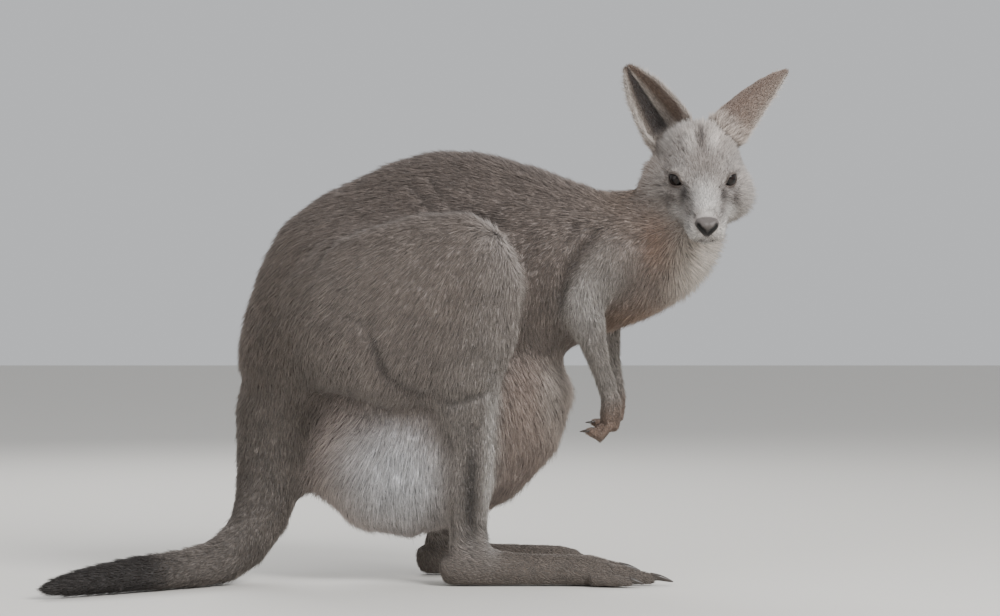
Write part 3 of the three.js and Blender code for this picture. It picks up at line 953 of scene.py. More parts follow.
@dataclass
class FaceSculpt:
    """The lids, brows, nostrils and lips, cut into the head's field."""

    eye: EyeShape = EyeShape()
    strokes: tuple[Stroke, ...] = (
        Stroke(((-14, 40, 20), (4, 42, 22), (20, 34, 18), (30, 24, 8)), 2.6, (7, 8, 7, 5)),  # brow
        Stroke(((-6, 50, -12), (10, 46, -14), (24, 36, -14)), 1.6, (7, 8, 6)),  # under the eye
        Stroke(((24, 36, -16), (40, 33, -24), (54, 30, -30)), -1.6, (5, 5, 4)),  # before the cheek
        Stroke(((30, 9, 12), (56, 9, 2), (80, 8, -8)), 1.6, (9, 9, 7)),  # flat bridge
        Stroke(((52, 27, -32), (70, 26, -38), (86, 20, -40)), 5.2, (12, 12, 10)),  # upper lip
        # side of the bridge
        Stroke(((28, 26, 2), (44, 25, -6), (62, 23.5, -13), (78, 21, -19)), -2.2, (4, 4, 4, 3.5)),
        Stroke(((99, 4, -20), (96, 11, -17), (86, 15, -17)), 1.6, (3.4, 3.4, 3)),  # nostril's wing
        Stroke(
            ((105, 1.2, -38), (104, 4, -34), (102, 8.5, -28.5), (97, 13, -24)),
            -3.8,
            (1.4, 2.4, 3.2, 2.4),
            nostril=True,
        ),
        Stroke(((104, 0, -38), (101, 0, -45)), -1.6, (1.0, 1.0), False),  # cleft of the lip
        Stroke(  # the mouth
            ((101, 0, -46), (96, 10, -47.5), (84, 19, -48), (64, 26, -47), (48, 30, -44)),
            -2.0,
            (1.3, 1.3, 1.4, 1.3, 1.1),
        ),
        Stroke(((96, 0, -56), (84, 8, -60)), 1.5, (7, 7)),  # chin
    )

    nostril_widths: tuple[float, ...] = (2.4, 4.0, 5.6, 5.2)  # of their colour, which is painted shade
    low: Place = (-40.0, -64.0, -78.0)  # the box that is cut, in the head
    high: Place = (999.0, 64.0, 46.0)
    above: float = 12.0  # how far off the skin the field is still changed
    below: float = -14.0
    paths: list = field(default_factory=list)

    def lay(self, lattice: Lattice, values: Array) -> None:
        """Finds where each stroke lies on the head.

        Args:
            lattice: The head block's lattice.
            values: Its field.
        """
        for stroke in self.strokes:
            for side in SIDES.values() if stroke.mirrored else (1,):
                path = self.laid(lattice, values, np.array(stroke.path, float) * (1, side, 1))
                self.paths.append((stroke, path))

    def nostrils(self, places: Array) -> Array:
        """1 in the nostrils, falling softly to 0. Places are in the head's coordinates."""
        paths = [path for stroke, path in self.paths if stroke.nostril]
        return np.max([along_path(places, path, self.nostril_widths) for path in paths], 0)

    @staticmethod
    def added(values: Array, shape: Array, soft: float) -> Array:
        """The field with a shape melted on."""
        mix = np.clip(0.5 + 0.5 * (values - shape) / soft, 0, 1)
        return values + (shape - values) * mix - soft * mix * (1 - mix)

    @staticmethod
    def laid(lattice: Lattice, values: Array, path: Array) -> Array:
        """The path's points, moved out or in from the head's middle line to where the skin is.

        Args:
            lattice: The head block's lattice.
            values: Its field.
            path: Points in the head's coordinates.

        Returns:
            The moved points.
        """
        steps = np.linspace(0.55, 1.5, 190)
        moved = []
        for point in path:
            middle = np.array([min(point[0], 78.0), 0.0, -24.0 - 0.1 * point[0]])
            ray = middle + np.outer(steps, point - middle)
            found = lattice.sample(values, HEAD.outward(ray).astype(np.float32))
            outside = np.flatnonzero(found > 0)
            moved.append(ray[outside[0]] if len(outside) else point)
        return np.array(moved, np.float32)

    def lids(self, places: Array, values: Array, side: int) -> Array:
        """Both lids of one eye with the hollow for its ball.

        Args:
            places: Points in the head's coordinates.
            values: The field.
            side: 1 for her left eye, -1 for the right.

        Returns:
            The changed field.
        """
        eye = self.eye
        centre, axes = eye.frame_of(side)
        away = places - centre.astype(np.float32)
        reach = np.linalg.norm(away, axis=-1)
        local = away @ axes.T.astype(np.float32)
        over_upper, gap, up = eye.opening(local)
        fold = np.exp(-(((over_upper - eye.fold_above) / eye.fold_width) ** 2))
        fold = fold * (local[..., 0] > 0) * (up > 0)
        lid = eye.lid + eye.thicker_above * smooth_step(up / 4 + 0.5) - eye.fold_depth * fold
        values = self.added(values, reach - (eye.radius + lid), eye.melt)
        opening = np.maximum(gap, eye.radius - 3 - reach)
        opening = np.where(local[..., 0] > 2, opening, 9.0)  # only in front of the ball
        values = -self.added(-values, opening, eye.edge)
        return np.maximum(values, eye.radius + eye.play - reach)

    def carve(self, lattice: Lattice, values: Array) -> Array:
        """The head's field with the whole face cut in.

        Args:
            lattice: The head block's lattice.
            values: Its field.

        Returns:
            The changed field.
        """
        near = (values < self.above) & (values > self.below)
        spot = HEAD.inward(lattice.grid()[near]).astype(np.float32)
        face = ((spot > np.array(self.low)) & (spot < np.array(self.high))).all(1)
        near[near] = face
        spot, out = spot[face], values[near]
        for stroke, path in self.paths:
            out = out - stroke.height * along_path(spot, path, stroke.widths)
        for side in SIDES.values():
            out = self.lids(spot, out, side)
        values = values.copy()
        values[near] = out
        return values


# --- markings


@dataclass(frozen=True)
class Patch:
    """A soft-edged place where the coat has another colour, length or lie."""

    at: Place
    radii: Place
    colour: str = ""
    strength: float = 1.0
    longer: float = 1.0  # times the region's length
    raised: float = 0.0  # how many degrees more the hair stands up
    in_head: bool = False  # the place is in the head's coordinates
    mirrored: bool = False
    regions: tuple[Region, ...] = ()  # only in these, or everywhere

    def share(self, points: Array, shares: Array) -> Array:
        """How much of the patch is at each place.

        Args:
            points: Places in millimetres.
            shares: Each region's share there.

        Returns:
            Values from 0 to its strength.
        """
        places = HEAD.inward(points) if self.in_head else points
        total = 0
        for side in (1, -1) if self.mirrored else (1,):
            away = (places - np.array(self.at) * (1, side, 1)) / np.array(self.radii)
            total = np.maximum(total, np.exp(-(np.linalg.norm(away, axis=1) ** 2.6)))
        if self.regions:
            total = total * sum(shares[:, ORDER[region]] for region in self.regions)
        return total * self.strength


def on_face(*values: tuple | str | float, mirrored: bool = False) -> Patch:
    """A patch of the face, with its place in the head's coordinates."""
    return Patch(*values, in_head=True, mirrored=mirrored, regions=(Region.FACE,))


BODYLIKE = (Region.BACK, Region.NECK, Region.THIGH, Region.TAIL)
FRONT = (Region.NECK, Region.BACK)
PATCHES = (
    # trunk and limbs
    Patch((-20, 49, 600), (420, 220, 70), "#80736b", 0.7, regions=BODYLIKE),
    Patch((-200, 49, 330), (80, 220, 200), "#73685f", 0.8, regions=BODYLIKE),
    Patch((116, 0, 450), (46, 220, 110), "#b5aca6", 0.8, regions=(Region.THIGH, Region.SHANK)),
    Patch((-10, 49, 330), (70, 220, 60), "#847a74", 0.6, regions=(Region.THIGH,)),
    Patch((300, 49, 580), (70, 120, 60), "#8a7869", 0.7, regions=FRONT),
    Patch((337, -10, 488), (26, 70, 42), "#9a7862", 0.7, regions=FRONT),
    Patch((398, 0, 448), (52, 110, 80), "#e0d6cb", 1.0, 1.4, 12, regions=FRONT),
    Patch((300, 49, 378), (80, 120, 30), "#b3947d", 0.6, regions=FRONT),
    Patch((222, -60, 404), (40, 70, 44), "#c9c3be", 0.85, 1.2, 6, regions=(Region.ARM,)),
    Patch((222, 160, 404), (40, 60, 44), "#b3aca7", 0.7, regions=(Region.ARM,)),
    Patch((-38, 10, 162), (80, 170, 80), "#fafafd", 1.0, 1.05, regions=(Region.POUCH,)),
    Patch((150, 49, 250), (64, 150, 120), "#b19c90", 0.7, regions=(Region.POUCH,)),
    Patch((178, 49, 290), (28, 130, 80), "#d3cac2", 0.75, regions=(Region.POUCH,)),
    Patch((94, 10, 150), (14, 220, 130), "#eee9e4", 1.0, regions=(Region.SHANK,)),
    Patch((60, 49, 140), (12, 220, 90), "#4c443f", 0.9, regions=(Region.SHANK,)),
    # face
    on_face((-34, 0, 44), (40, 44, 26), "#9a8e86", 0.8, 1.1, 12),
    on_face((14, 0, 26), (34, 24, 18), "#958a82", 0.75),
    on_face((64, 0, 0), (36, 18, 20), "#ece7e2", 1.0, 0.6),
    on_face((40, 25, -6), (28, 5.6, 11), "#3a2f29", 1.0, mirrored=True),
    on_face((68, 23, -18), (18, 4.6, 9), "#5a4e47", 0.9, mirrored=True),
    on_face((19, 42, -20), (13, 10, 12), "#4f4038", 1.0, mirrored=True),
    on_face((38, 34, -34), (24, 12, 12), "#ddd7d1", 0.9, 1.2, mirrored=True),
    on_face((80, 19, -38), (26, 14, 13), "#e6e1db", 0.95, 0.5, mirrored=True),
    on_face((88, 0, -58), (26, 20, 13), "#e6e1db", 0.95, 0.7),
    on_face((-8, 60, -18), (26, 24, 34), "#c3bab3", 0.8, 1.9, 28, mirrored=True),
    on_face((-36, 54, -46), (32, 28, 30), "#beb4ac", 0.8, 2.3, 30, mirrored=True),
    on_face((-26, 15, 44), (26, 9, 16), "#d0c8c1", 0.9, 1.7, 22, mirrored=True),
    on_face((-8, 44, 7), (8, 6, 4), "#3f332c", 0.9, 0.7, mirrored=True),
    Patch((346, 18, 645), (44, 30, 32), "#cbc2ba", 0.85, 2.2, 36, regions=(Region.FACE,)),
    Patch((426, 26, 648), (38, 28, 34), "#c3b9b0", 0.85, 2.2, 36, regions=(Region.FACE,)),
    on_face((104, 0, -43), (7, 1.8, 5), "#2c2421", 0.9),
    on_face((96, 10, -48), (14, 9, 2.2), "#3a302b", 0.8, mirrored=True),
    # painted shade: a narrow dark line standing for the fold between the ears
    on_face((-34, 0, 48), (30, 3.4, 14), "#50453e", 0.85),
)


@dataclass(frozen=True)
class EarShape:
    """One ear: its axis, the way its cup opens and how far the cup closes along it."""

    root: Place
    lean: Place
    opens: Place
    hollow: bool  # its hollow faces forward
    length: float = 154.0
    shares: tuple[float, ...] = (0, 0.16, 0.34, 0.54, 0.74, 0.9, 1)
    spreads: tuple[float, ...] = (140, 116, 98, 86, 74, 62, 50)

    def places(self, points: Array, normals: Array) -> tuple[Array, Array, Array]:
        """Where places are on the ear.

        Args:
            points: Places in millimetres.
            normals: The skin's normals there.

        Returns:
            The share of the way to the tip, the place from one edge at -1 to the other at 1,
            and whether the place is inside the cup.
        """
        axis = unit(np.array(self.lean, float))
        mouth = np.array(self.opens, float)
        mouth = unit(mouth - axis * (mouth @ axis))
        wide = np.cross(axis, mouth)
        away = points - np.array(self.root)
        along = away @ axis / self.length
        spread = np.radians(np.interp(along, self.shares, self.spreads))
        edge = np.arctan2(away @ wide, -(away @ mouth)) / spread
        radial = away - np.outer(away @ axis, axis)
        return along, edge, np.sum(normals * radial, axis=1) < 0


EARS = {
    "right": EarShape((371.0, 35.0, 616.0), (-82, 6, 125), (-0.12, -1, 0.1), True),
    "left": EarShape((411.6, 41.0, 628.0), (110, 14, 107), (0.55, 0.6, -0.59), False),
}


@dataclass(frozen=True)
class EarMarks:
    """Colours across an ear from one edge to the other, and how shaggy the margins are."""

    hollow: tuple[tuple[float, str], ...] = (
        (-1.0, "#cfc5bc"),
        (-0.74, "#b3a89e"),
        (-0.5, "#75695f"),
        (-0.36, "#463b36"),
        (0.02, "#3b322e"),
        (0.12, "#c0b4aa"),
        (0.26, "#a5978c"),
        (0.4, "#8a7465"),
        (0.85, "#937f72"),
        (1.0, "#bfb3a9"),
    )
    back: tuple[tuple[float, str], ...] = (
        (-1.0, "#b8aca1"),
        (-0.8, "#8d7c70"),
        (-0.2, "#806c60"),
        (0.5, "#87756a"),
        (0.84, "#988a7f"),
        (1.0, "#b8aca1"),
    )
    tip: str = "#6e5d52"
    root: str = "#b3a79d"
    shaggy: float = 1.9  # times the length, on the margins and at the root
    end_share: float = 0.8  # of the colours of tip and root

    @staticmethod
    def across(stops: tuple[tuple[float, str], ...], edge: Array) -> Array:
        """The linear colour at places from edge to edge, straight between the stops."""
        at = [place for place, _ in stops]
        table = np.array([linear(colour)[:3] for _, colour in stops])
        return np.stack([np.interp(edge, at, table[:, i]) for i in range(3)], 1)

    def colours(self, along: Array, edge: Array, inside: Array) -> Array:
        """The coat's colour at places on an ear.

        Args:
            along: The share of the way to the tip.
            edge: The place from one edge at -1 to the other at 1.
            inside: Whether the place is inside the cup.

        Returns:
            A linear colour for each.
        """
        hollow, back = self.across(self.hollow, edge), self.across(self.back, edge)
        colour = np.where(inside[:, None], hollow, back)
        colour = blended(colour, self.tip, smooth_step((along - 0.86) / 0.2) * self.end_share)
        return blended(colour, self.root, smooth_step((0.34 - along) / 0.16) * self.end_share)

    def longer(self, along: Array, edge: Array) -> Array:
        """How many times the region's length the hair is.

        Args:
            along: The share of the way to the tip.
            edge: The place from one edge at -1 to the other at 1.

        Returns:
            One value for each place.
        """
        margin = smooth_step((np.abs(edge) - 0.8) / 0.15) * smooth_step((1.02 - along) / 0.2)
        return 1 + (self.shaggy - 1) * np.maximum(margin, smooth_step((0.36 - along) / 0.14))


@dataclass(frozen=True)
class NoseShape:
    """The bare pad of the nose, in the head's coordinates: wide above, narrow at the lip."""

    back: float = 86.0  # where the hair stops on top
    half_width: float = 17.5
    full_above: float = -25.0
    bottom: float = -41.0
    narrow: float = 3.0
    bridge: str = "#625c59"
    front: str = "#3c3735"
    # painted shade: the nostril grooves are painted near black for the shade inside them
    nostril: str = "#050404"
    front_from: float = -18.0  # the height where the front's colour begins
    front_over: float = 14.0

    def share(self, points: Array) -> Array:
        """How far each place is on the pad.

        Args:
            points: Places in millimetres.

        Returns:
            1 on it and 0 off it.
        """
        local = HEAD.inward(points)
        low = np.clip((local[:, 2] - self.bottom) / (self.full_above - self.bottom), 0, 1)
        half = self.narrow + (self.half_width - self.narrow) * low
        inside = np.minimum(local[:, 0] - self.back, half - np.abs(local[:, 1]))
        inside = np.minimum(inside, local[:, 2] - self.bottom)
        return smooth_step(inside / 1.4 + 0.5)

    def colours(self, points: Array, nostrils: Array) -> Array:
        """The pad's colours: pale on top, darker in front, and near black in the nostrils as
        painted shade of their openings.

        Args:
            points: Places in millimetres.
            nostrils: 1 in a nostril.

        Returns:
            A linear colour for each place.
        """
        top = self.front_from - HEAD.inward(points)[:, 2]
        colour = np.zeros_like(points) + linear(self.bridge)[:3]
        colour = blended(colour, self.front, smooth_step(top / self.front_over))
        return blended(colour, self.nostril, smooth_step(nostrils * 1.6 - 0.25))


@dataclass
class Look:
    """What the coat is at a set of places: shares of the regions, colour, length and lift."""

    points: Array
    normals: Array
    shares: Array
    gap: Array  # how far each place is from the opening of an eye
    nostrils: Array  # 1 in a nostril
    folds: Array  # 1 in a fold of the body
    marks: EarMarks = EarMarks()
    nose: NoseShape = NoseShape()
    eye_ring: str = "#3b302a"
    ring_from: float = 1.5  # beyond the opening
    ring_width: float = 4.5
    ring_share: float = 0.9
    bare_rim: float = 2.0  # of the lids
    short_round_eyes: float = 12.0  # the hair reaches its full length this far from the lids
    fold_shade: float = 0.5  # how much darker the coat is painted in a fold, as painted shade
    fold_thins: float = 0.5  # how much shorter it is there

    def mixed(self, values: list) -> Array:
        """One value for each kind of coat, mixed by the regions' shares."""
        return self.shares @ np.array(values, float)

    def ears(self) -> list[tuple[Array, Array, Array, Array]]:
        """Where the ears' places are.

        Returns:
            For each ear the mask of its places, then how far along, how far across and on which
            face each one is.
        """
        on_ear = self.shares[:, ORDER[Region.EAR]] > 0.5
        middle = HEAD.at[0]
        found = []
        for ear in EARS.values():
            mask = on_ear & ((self.points[:, 0] < middle) == (ear.root[0] < middle))
            found.append((mask, *ear.places(self.points[mask], self.normals[mask])))
        return found

    def colours(self) -> Array:
        """The coat's linear colour at each place, with an alpha of 1."""
        colour = self.mixed([linear(kind.colour)[:3] for kind in COAT])
        for patch in PATCHES:
            if patch.colour:
                colour = blended(colour, patch.colour, patch.share(self.points, self.shares))
        # painted shade: the coat is darkened in the body's folds
        colour = colour * (1 - self.fold_shade * self.folds)[:, None]
        for mask, along, edge, inside in self.ears():
            colour[mask] = self.marks.colours(along, edge, inside)
        ring = (1 - smooth_step((self.gap - self.ring_from) / self.ring_width)) * self.ring_share
        colour = blended(colour, self.eye_ring, ring)
        pad = self.nose.share(self.points)[:, None]
        colour = colour * (1 - pad) + self.nose.colours(self.points, self.nostrils) * pad
        return np.pad(colour, ((0, 0), (0, 1)), constant_values=1)

    def lengths(self) -> Array:
        """The hair's length at each place."""
        length = self.mixed([kind.length for kind in COAT])
        for patch in PATCHES:
            if patch.longer != 1:
                length = length * (1 + (patch.longer - 1) * patch.share(self.points, self.shares))
        for mask, along, edge, _ in self.ears():
            length[mask] *= self.marks.longer(along, edge)
        length = length * (1 - self.fold_thins * self.folds)
        return length * np.clip(self.gap / self.short_round_eyes, 0.22, 1)

    def lifts(self) -> Array:
        """How far the hair stands up at each place, in radians."""
        lift = self.mixed([kind.lift for kind in COAT])
        for patch in PATCHES:
            if patch.raised:
                lift = lift + patch.raised * patch.share(self.points, self.shares)
        return np.radians(lift) * np.clip(self.gap / self.short_round_eyes, 0.5, 1)

    def bare(self) -> Array:
        """1 where nothing grows: on the nose, the lids' rims and the soles."""
        lids = 1 - smooth_step((self.gap - self.bare_rim) / 1.5)
        soles = (self.points[:, 2] < 3.5) & (self.normals[:, 2] < -0.6)
        return np.maximum(np.maximum(self.nose.share(self.points), lids), soles)


# --- lie of the hair


# Places on her left half or in the middle, and the way the hair runs there. Each stands for both
# sides. The first table is in the part's frame, the second in the head's coordinates.
BODY_FLOWS = (
    ((340, 10, 640), (-0.6, 0, 0.2)),
    ((300, 10, 570), (-0.7, 0, -0.5)),
    ((340, 20, 500), (-0.45, 0, -0.9)),
    ((280, 70, 500), (-0.6, 0, -0.7)),
    ((220, 0, 540), (-1, 0, -0.1)),
    ((250, 0, 400), (-0.9, 0, -0.5)),
    ((60, 0, 560), (-1, 0, 0.0)),
    ((60, 110, 460), (-1, 0, -0.25)),
    ((-120, 0, 530), (-1, 0, -0.3)),
    ((-200, 0, 420), (-0.5, 0, -0.9)),
    ((-225, 0, 320), (-0.1, 0, -1)),
    ((-100, 130, 440), (-0.85, 0.1, -0.5)),
    ((-20, 140, 380), (-0.6, 0, -0.8)),
    ((70, 160, 420), (-0.25, 0, -1)),
    ((62, 130, 300), (-0.15, 0, -1)),
    ((60, 130, 150), (-0.1, 0, -1)),
    ((-110, 60, 190), (-0.7, 0, -0.7)),
    ((-40, 60, 180), (0.02, 0, -1)),
    ((-40, 60, 120), (0.1, 0, -1)),
    ((40, 60, 180), (0.15, 0, -1)),
    ((130, 0, 330), (0.45, 0, -0.9)),
    ((160, 0, 250), (0.3, 0, -0.95)),
    ((110, 0, 150), (-0.3, 0, -0.95)),
    ((-225, -2, 200), (-0.1, 0, -1)),
    ((-252, -30, 90), (-0.4, -0.3, -0.85)),
    ((-310, -80, 40), (-0.7, -0.6, -0.2)),
    ((-420, -150, 25), (-0.75, -0.65, 0)),
    ((-500, -210, 18), (-0.75, -0.65, 0)),
    ((250, 120, 470), (-0.5, 0.1, -0.85)),
    ((225, 140, 400), (0.1, 0, -1)),
    ((265, 138, 320), (0.35, 0, -1)),
    ((272, 135, 260), (0, 0, -1)),
    ((80, 133, 30), (1, 0, -0.1)),
    ((250, 133, 20), (1, 0, -0.1)),
)
HEAD_FLOWS = (
    ((96, 0, -30), (-1, 0, 0.1)),
    ((80, 20, -40), (-1, 0.15, -0.3)),
    ((60, 0, -4), (-1, 0, 0.2)),
    ((50, 24, -26), (-1, 0.3, -0.2)),
    ((20, 0, 22), (-1, 0, 0.3)),
    ((30, 24, 8), (-0.9, 0.05, 0.5)),
    ((10, 38, 22), (-0.9, 0.2, 0.5)),
    ((32, 30, -12), (-0.8, 0.3, -0.6)),
    ((14, 44, -20), (-0.9, 0.3, -0.6)),
    ((-10, 48, 6), (-1, 0.3, 0.1)),
    ((-24, 14, 44), (-0.7, 0.5, 0.7)),
    ((-10, 0, 36), (-1, 0, 0.5)),
    ((-10, 56, -8), (-1, 0.3, -0.3)),
    ((-10, 50, -40), (-0.8, 0.2, -0.8)),
    ((-50, 50, -40), (-0.9, 0.3, -0.7)),
    ((-50, 40, 30), (-1, 0.2, 0.2)),
    ((60, 0, -64), (-1, 0, -0.2)),
)
HEAD_CORE, BODY_CORE = 6.0, 14.0  # within this of a flow's place, it alone has a say


def lie_of_hair(points: Array, normals: Array, shares: Array) -> Array:
    """The way the hair runs over the skin at each place.

    Args:
        points: Places in millimetres.
        normals: The skin's normals there.
        shares: Each region's share there.

    Returns:
        Unit directions along the skin.
    """
    total = np.zeros_like(points, dtype=float)
    for flow in (*BODY_FLOWS, *HEAD_FLOWS):
        in_head = flow in HEAD_FLOWS
        for side in (1, -1):
            at, way = np.array(flow[0], float), unit(np.array(flow[1], float))
            if in_head:
                at, way = HEAD.outward(at * (1, side, 1)), HEAD.direction(way * (1, side, 1))
            elif side < 0:
                at = np.array([at[0], 2 * MIDDLE_Y - at[1], at[2]])
                way = way * (1, -1, 1)
            away = np.linalg.norm(points - at, axis=1)
            core = HEAD_CORE if in_head else BODY_CORE
            total += way * (1 / (away + core) ** 4)[:, None]
    ear = shares[:, ORDER[Region.EAR]] > 0.4
    for shape in EARS.values():
        near = ear & ((points[:, 0] < HEAD.at[0]) == (shape.root[0] < HEAD.at[0]))
        _, edge, _ = shape.places(points[near], normals[near])
        axis = unit(np.array(shape.lean, float))
        radial = points[near] - np.array(shape.root)
        outward = unit(radial - np.outer(radial @ axis, axis))
        total[near] = axis + outward * smooth_step((np.abs(edge) - 0.75) / 0.2)[:, None] * 0.9
    total = unit(total)
    total = total - normals * np.sum(total * normals, axis=1, keepdims=True)
    return unit(total)


# --- finishes


class Nodes:
    """Puts nodes in a tree and hands back their outputs."""

    def __init__(self, tree: bpy.types.NodeTree) -> None:
        """Takes the tree that the nodes go in."""
        self.tree = tree

    def feed(self, node: bpy.types.Node, links: dict) -> bpy.types.Node:
        """Gives a node's inputs, by name or number, a value or the output that feeds them."""
        for key, value in links.items():
            if isinstance(value, Socket):
                self.tree.links.new(value, node.inputs[key])
            else:
                node.inputs[key].default_value = value
        return node

    def add(self, kind: str, links: dict | None = None, **settings) -> bpy.types.Node:
        """Adds a node.

        Args:
            kind: The node's type.
            links: What goes in it.
            **settings: The node's own properties.

        Returns:
            The node.
        """
        node = self.tree.nodes.new(kind)
        for name, value in settings.items():
            setattr(node, name, value)
        return self.feed(node, links or {})

    def sum(self, operation: str, *values) -> Socket:
        """The result of an operation on numbers."""
        return self.add("ShaderNodeMath", dict(enumerate(values)), operation=operation).outputs[0]

    def vector(self, operation: str, *values) -> Socket:
        """The result of an operation on vectors; to SCALE, the second value is a number."""
        scaled = operation == "SCALE"
        links = {0: values[0], "Scale": values[1]} if scaled else dict(enumerate(values))
        node = self.add("ShaderNodeVectorMath", links, operation=operation)
        return node.outputs["Value" if operation == "DOT_PRODUCT" else 0]

    def ranged(
        self,
        value: Socket,
        low: float,
        high: float,
        start: float = 0.0,
        end: float = 1.0,
    ) -> Socket:
        """A value between start and end, spread from low to high."""
        links = {"Value": value, "From Min": start, "From Max": end, "To Min": low, "To Max": high}
        return self.add("ShaderNodeMapRange", links).outputs[0]

    def attribute(self, name: str, output: str = "Fac") -> Socket:
        """A material's reading of a named attribute."""
        return self.add("ShaderNodeAttribute", attribute_name=name).outputs[output]

    def place(self) -> Socket:
        """The piece's own coordinates, in metres."""
        return self.add("ShaderNodeTexCoord").outputs["Object"]

    def noise(self, place: Socket, size_mm: float, detail: float) -> Socket:
        """Noise with features of a size."""
        links = {"Vector": place, "Scale": 1 / (size_mm * MM), "Detail": detail}
        return self.add("ShaderNodeTexNoise", links).outputs[0]

    def bump(self, height: Socket, strength: float, depth_mm: float) -> Socket:
        """A normal bent by a height."""
        links = {"Height": height, "Strength": strength, "Distance": depth_mm * MM}
        return self.add("ShaderNodeBump", links).outputs[0]

    def mix(
        self, share: Socket, first: Socket | tuple, second: Socket | tuple
    ) -> Socket:
        """One colour turned into another by a share."""
        links = {0: share, 6: first, 7: second}
        return self.add("ShaderNodeMix", links, data_type="RGBA").outputs[2]


@dataclass(frozen=True)
class Finish:
    """What a surface is made of."""

    name: str

    def make(self) -> bpy.types.Material:
        """The material."""
        material = bpy.data.materials.new(self.name)
        material.use_nodes = True
        nodes = Nodes(material.node_tree)
        nodes.feed(material.node_tree.nodes["Principled BSDF"], self.inputs(nodes))
        return material

    def inputs(self, nodes: Nodes) -> dict:
        """What goes in each of the shader's inputs."""
        raise NotImplementedError


@dataclass(frozen=True)
class HairFinish(Finish):
    """Guard hair over grey underfur: dull, and here and there white at the tip as a grizzle."""

    name: str = "kangaroo guard hair"
    root: float = 0.55  # how much darker the hair is at its root
    tip: float = 1.2
    drift_mm: float = 26.0  # size of the lighter and darker drifts over the body
    paler: float = 1.6  # how much lighter a white tip is than the coat there
    white_added: float = 0.1
    white_from: float = 1.12  # hairs of at least this tone have a white tip
    white_full: float = 1.3
    white_most: float = 0.75

    def inputs(self, nodes: Nodes) -> dict:
        """What goes in each of the shader's inputs."""
        own = nodes.attribute("coat_colour", "Color")
        along, tone = nodes.attribute("along"), nodes.attribute("tone")
        drift = nodes.ranged(nodes.noise(nodes.place(), self.drift_mm, 3.0), 0.86, 1.14, 0.3, 0.7)
        shade = nodes.sum("MULTIPLY", nodes.ranged(along, self.root, self.tip), drift)
        colour = nodes.vector("SCALE", own, nodes.sum("MULTIPLY", shade, tone))
        whiteness = nodes.sum(
            "MULTIPLY",
            nodes.ranged(tone, 0.0, self.white_most, self.white_from, self.white_full),
            nodes.sum("POWER", along, 2.0),
        )
        palest = nodes.vector("MULTIPLY_ADD", own, (self.paler,) * 3, (self.white_added,) * 3)
        return {
            "Base Color": nodes.mix(whiteness, colour, palest),
            "Roughness": 0.72,
            "IOR": 1.55,  # keratin
            "Specular IOR Level": 0.35,
            "Sheen Weight": 0.12,
            "Sheen Roughness": 0.6,
        }


@dataclass(frozen=True)
class HideFinish(Finish):
    """The hide with its short underfur: soft, painted darker than the coat as painted shade between
    the locks, with a hair-fine bump.
    """

    name: str = "kangaroo hide with underfur"
    # painted shade: the hide is painted darker than the coat, standing for the shade between the
    # locks
    darker: float = 0.72
    hair_mm: float = 0.9  # underfur is finer; drawn this coarse so that it shows

    def inputs(self, nodes: Nodes) -> dict:
        """What goes in each of the shader's inputs."""
        fine = nodes.noise(nodes.place(), self.hair_mm, 2.0)
        shade = nodes.ranged(fine, self.darker * 0.7, self.darker * 1.3)
        return {
            "Base Color": nodes.vector("SCALE", nodes.attribute("coat_colour", "Color"), shade),
            "Normal": nodes.bump(fine, 0.5, self.hair_mm),
            "Roughness": 0.85,
            "IOR": 1.45,
            "Specular IOR Level": 0.25,
        }


@dataclass(frozen=True)
class BareSkinFinish(Finish):
    """Bare skin, pebbled and slightly moist on the nose, smooth and dark on the lids' rims."""

    roughness: float
    pebble_mm: float

    def inputs(self, nodes: Nodes) -> dict:
        """What goes in each of the shader's inputs."""
        links = {"Vector": nodes.place(), "Scale": 1 / (self.pebble_mm * MM)}
        pebbles = nodes.add("ShaderNodeTexVoronoi", links).outputs["Distance"]
        shade = nodes.ranged(pebbles, 0.72, 1.1)
        return {
            "Base Color": nodes.vector("SCALE", nodes.attribute("coat_colour", "Color"), shade),
            "Normal": nodes.bump(pebbles, 0.4, self.pebble_mm * 0.5),
            "Roughness": self.roughness,
            "IOR": 1.4,
        }


@dataclass(frozen=True)
class EyeFinish(Finish):
    """A wet eye: a round pupil, a dark brown iris with fine rays, and a dark white of the eye."""

    name: str = "wet cornea over brown iris"
    rings: tuple[tuple[float, str], ...] = (  # radians from the gaze, and the colour there
        (0.2, "#050404"),
        (0.25, "#140c08"),
        (0.52, "#1a100a"),
        (0.62, "#080505"),
        (0.87, "#120d0b"),
    )

    def inputs(self, nodes: Nodes) -> dict:
        """What goes in each of the shader's inputs."""
        rays = nodes.noise(nodes.place(), 1.2, 2.0)
        angle = nodes.sum("MULTIPLY_ADD", rays, 0.08, nodes.attribute("from_gaze"))
        ramp = nodes.add("ShaderNodeValToRGB", {0: angle})
        elements = ramp.color_ramp.elements
        for element, (at, colour) in zip(elements, (self.rings[0], self.rings[-1])):
            element.position, element.color = at, linear(colour)
        for at, colour in self.rings[1:-1]:
            elements.new(at).color = linear(colour)
        return {"Base Color": ramp.outputs[0], "Roughness": 0.05, "IOR": 1.376}  # cornea


@dataclass(frozen=True)
class HornFinish(Finish):
    """Claw horn: almost black keratin with lengthwise streaks."""

    name: str = "claw horn"

    def inputs(self, nodes: Nodes) -> dict:
        """What goes in each of the shader's inputs."""
        links = {"Vector": nodes.place(), "Scale": (0.15, 1, 1)}
        drawn = nodes.add("ShaderNodeMapping", links).outputs[0]
        streaks = nodes.noise(drawn, 0.9, 3.0)
        return {
            "Base Color": nodes.mix(streaks, linear("#171412"), linear("#4a413a")),
            "Normal": nodes.bump(streaks, 0.3, 0.3),
            "Roughness": 0.36,
            "IOR": 1.55,
        }


